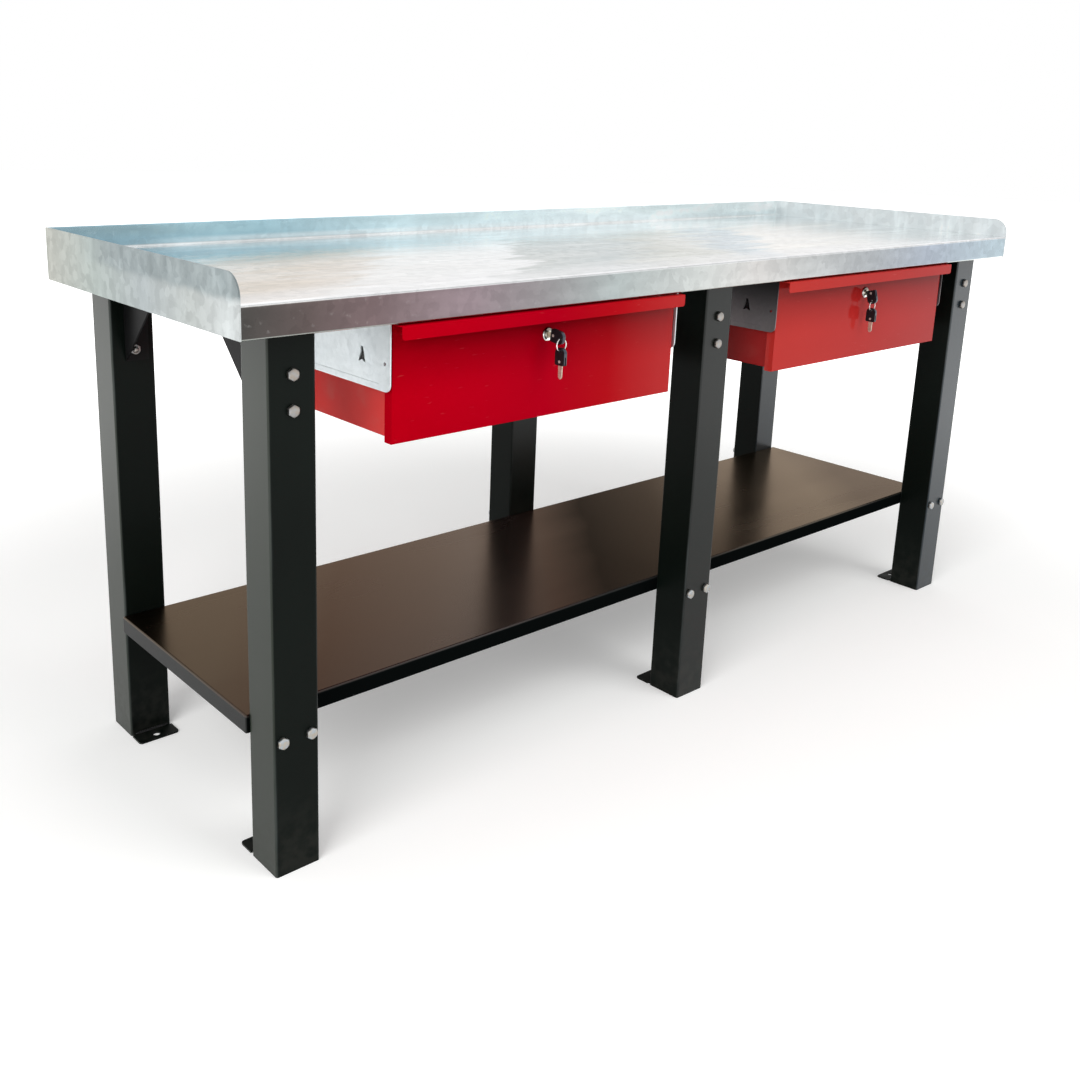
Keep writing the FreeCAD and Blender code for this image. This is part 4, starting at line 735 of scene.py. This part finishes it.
BRIGHT, TARNISHED = (0.80, 0.80, 0.79), (0.62, 0.61, 0.58)
BARREL_RADIUS, BARREL_PITCH = 0.0094, 0.001
bright_nickel = nickel_paint("bright_nickel", BRIGHT, TARNISHED, 0.10)
warm_nickel = nickel_paint("warm_nickel", (0.66, 0.62, 0.53), (0.46, 0.43, 0.37), 0.24)
for side in SIDES:
    low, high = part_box(f"lock_housing_{side}")
    height = (low.z + high.z) / 2
    shaded = height + LIP_SLANT * middle_x(f"lock_housing_{side}")
    dress(nickel_paint(f"housing_nickel_{side}", BRIGHT, TARNISHED, 0.10, shaded),
          f"lock_housing_{side}")
    dress(bright_nickel, f"lock_nut_{side}")
    dress(warm_nickel, f"lock_plug_{side}", f"lock_cam_{side}")
    thread = barrel_thread((middle_x(f"drawer_front_{side}"), height),
                           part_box(f"lock_nut_{side}")[1].y, high.y, BARREL_RADIUS, BARREL_PITCH)
    skin(f"lock_thread_{side}", thread, warm_nickel, f"drawer_{side}")


# ----------------------------------------------------------------------------------------- keys
# Each lock has two folding keys on one split ring: one in the lock and a spare that hangs from
# it. Heads are moulded in black plastic round a steel pin, and blades are milled nickel silver.

def softened(node, width, body, material):
    """A CAD node's own shape with its corners rounded: its triangles are joined, its flat faces
    merged and every sharp edge bevelled by the width."""
    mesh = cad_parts[node].data.copy()
    join = bmesh.new()
    join.from_mesh(mesh)
    bmesh.ops.remove_doubles(join, verts=join.verts, dist=1e-6)
    bmesh.ops.dissolve_limit(join, angle_limit=math.radians(2), verts=join.verts, edges=join.edges)
    join.to_mesh(mesh)
    join.free()
    mesh.materials.clear()
    mesh.materials.append(material)
    piece = bpy.data.objects.new(f"{node}_moulded", mesh)
    bpy.context.scene.collection.objects.link(piece)
    for face in mesh.polygons:
        face.use_smooth = True
    rounder = piece.modifiers.new("edges", "BEVEL")
    rounder.width, rounder.segments, rounder.limit_method = width, 3, "ANGLE"
    rounder.angle_limit = math.radians(40)
    rounder.harden_normals = True
    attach(piece, body)
    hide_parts(node)


HEAD_ROUNDING, WIRE_INSET = 0.0007, 0.0009


def plastic_paint():
    """Black nylon with a spark-eroded grain; the narrow front faces are shinier and carry a painted
    blue sheen.
    """
    material, place = new_material("black_nylon")
    worn = noise(place, 0.007, seed=4)
    grain = noise(place, 0.0005, detail=1.0)
    colour = mix(worn, (0.004, 0.005, 0.006), (0.012, 0.013, 0.016))
    # Painted blue sheen on the narrow front faces.
    front_face_sheen = rise(0 - axes(place.other("Normal"))[1], 0.3, 0.7)
    colour = mix(0.8 * front_face_sheen, colour, (0.022, 0.034, 0.055))
    return coat(material, place, colour, 0.30 + 0.2 * worn, 0.00002 * grain,
                coat_weight=0.05 + 0.75 * front_face_sheen, coat_roughness=0.15, specular_ior_level=0.2)


def pin_paint():
    """A steel pin with dull filed ends."""
    material, place = new_material("filed_steel")
    filed = noise(place, 0.0008, (4, 1, 1), detail=2.0)
    colour = mix(filed, (0.42, 0.39, 0.35), (0.62, 0.58, 0.53))
    return coat(material, place, colour, 0.42 + 0.1 * filed, 0.000008 * filed, metallic=0.35)


def split_ring(node, turns=2.08, wire=0.00044, flatness=1.9, sides=12):
    """A split ring: flat rings of wire carried a little over twice round the middle line, with a
    sideways step of two radii on the way and both ends closed to a point."""
    low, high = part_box(node)
    middle, radius = np.array((low + high) / 2), (high.x - low.x) / 2 - WIRE_INSET
    t = np.linspace(0, 1, 150)
    turn = 2 * np.pi * turns * t + 0.6
    side = (np.clip((t - 0.44) / 0.12, 0, 1) * 2 - 1) * wire
    out = np.stack([np.cos(turn), 0 * turn, np.sin(turn)], axis=-1)
    along_y = np.array((0.0, 1.0, 0.0))
    line = middle + radius * out + side[:, None] * along_y
    angle = np.linspace(0, 2 * np.pi, sides, endpoint=False)[None, :, None]
    r = wire * np.minimum(1, 60 * np.minimum(t, 1 - t)) ** 0.5
    ring = np.cos(angle) * out[:, None] * flatness + np.sin(angle) * along_y
    return line[:, None] + r[:, None, None] * ring


nylon = plastic_paint()
filed_steel = pin_paint()
blade_metal = nickel_paint("nickel_silver", (0.66, 0.60, 0.49), (0.48, 0.42, 0.33), 0.32,
                           metallic=0.55)
for side in SIDES:
    for key in ("key", "spare"):
        softened(f"{key}_head_{side}", HEAD_ROUNDING, f"{key}_head_{side}", nylon)
        dress(filed_steel, f"{key}_rivet_{side}")
        dress(blade_metal, f"{key}_blade_{side}")
    ring = skin(f"split_ring_{side}", split_ring(f"key_ring_{side}"), bright_nickel,
                f"key_ring_{side}")
    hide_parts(f"key_ring_{side}")


# --------------------------------------------------------------------------- floor and backdrop
# A plain pale floor that carries the soft shadow and turns to white away from the bench.

def floor_paint():
    """Pale matt paint; light of its own, seen by the camera and in gloss only, grows with the
    distance from the bench until the floor is white. From below it is clear."""
    material, place = new_material("pale_floor")
    x, y, _ = axes(place)
    away = x.maths("SQRT", x * x + y * y, 0.0)
    seen = place.node("LightPath")
    shown = seen.maths("MAXIMUM", seen, seen.other("Is Glossy Ray"))
    matt = place.node("BsdfDiffuse", values={"Color": (0.86, 0.86, 0.85, 1.0), "Roughness": 0.4})
    glow = place.node("Emission", values={
        "Color": WHITE, "Strength": shown * (0.22 + 0.9 * rise(away, 1.2, 3.4))})
    both = place.node("AddShader", values={0: matt, 1: glow})
    under = place.node("NewGeometry", out="Backfacing")
    clear = place.node("BsdfTransparent")
    surface_seen = place.node("MixShader", values={0: under, 1: both, 2: clear})
    place.node("OutputMaterial", values={"Surface": surface_seen})
    return material


WHITE = (1.0, 1.0, 1.0, 1.0)
FLOOR_DROP = 0.0005
angle = np.linspace(0, 2 * np.pi, 64, endpoint=False)
distance = np.array([0.0, 1.5, 4.0, 20.0])[:, None]
disc = np.stack([distance * np.cos(angle), distance * np.sin(angle),
                 0 * distance * angle - FLOOR_DROP], axis=-1)
floor = grid_mesh("floor", disc, floor_paint())[1]


# ----------------------------------------------------------------------------- light and camera
# A white room with three soft boxes: a key from the left, a fill from the front and a wide one
# above. The camera stands off the left end, a little above the top.

world = bpy.data.worlds.new("white_room")
world.use_nodes = True
world.node_tree.nodes.clear()
room = Shade(world.node_tree).node("LightPath")
shown = room.maths("MAXIMUM", room, room.other("Is Glossy Ray"))
shown = room.maths("MAXIMUM", shown, room.other("Is Transmission Ray"))
white = room.node("Background", values={"Color": WHITE, "Strength": 0.5 + 0.5 * shown})
room.node("OutputWorld", values={"Surface": white})
bpy.context.scene.world = world


def aim(back, place, roll=0.0):
    """The matrix of something at a place whose local Z points along back, turned by a roll."""
    back = np.array(back, float) / np.linalg.norm(back)
    right = np.cross((0.0, 0.0, 1.0), back)
    right /= np.linalg.norm(right)
    up = np.cross(back, right)
    c, s = math.cos(roll), math.sin(roll)
    made = np.eye(4)
    made[:3, 0], made[:3, 1] = c * right + s * up, c * up - s * right
    made[:3, 2], made[:3, 3] = back, place
    return Matrix(made.tolist())


def soft_box(name, place, target, size, power):
    """A square lamp at a place that faces a target; gloss and metal show the room, not the lamp."""
    lamp = bpy.data.lights.new(name, "AREA")
    lamp.shape, lamp.size, lamp.energy = "SQUARE", size, power
    box = bpy.data.objects.new(name, lamp)
    box.matrix_world = aim(np.array(place) - np.array(target), place)
    box.visible_glossy = False
    bpy.context.scene.collection.objects.link(box)


soft_box("key_lamp", (-3.6, -1.4, 2.4), (-0.3, 0.0, 0.5), 2.4, 80)
soft_box("fill_lamp", (1.0, -3.4, 3.2), (0.2, 0.0, 0.5), 2.6, 60)
soft_box("top_lamp", (0.6, 1.2, 4.6), (0.0, 0.0, 0.6), 6.0, 26)

YAW, DIP, ROLL = 0.71112, 0.24710, 0.02902
STAND, LENS, SHIFT = (-1.68653, -1.60256, 1.09894), 38.327, (0.0500, -0.1204)
camera_data = bpy.data.cameras.new("camera")
camera_data.sensor_width = 36.0
camera_data.lens = LENS
camera_data.shift_x, camera_data.shift_y = SHIFT
camera = bpy.data.objects.new("camera", camera_data)
back = (-math.sin(YAW) * math.cos(DIP), -math.cos(YAW) * math.cos(DIP), math.sin(DIP))
camera.matrix_world = aim(back, STAND, ROLL)
bpy.context.scene.collection.objects.link(camera)
bpy.context.scene.camera = camera
bpy.context.scene.view_settings.view_transform = "Standard"
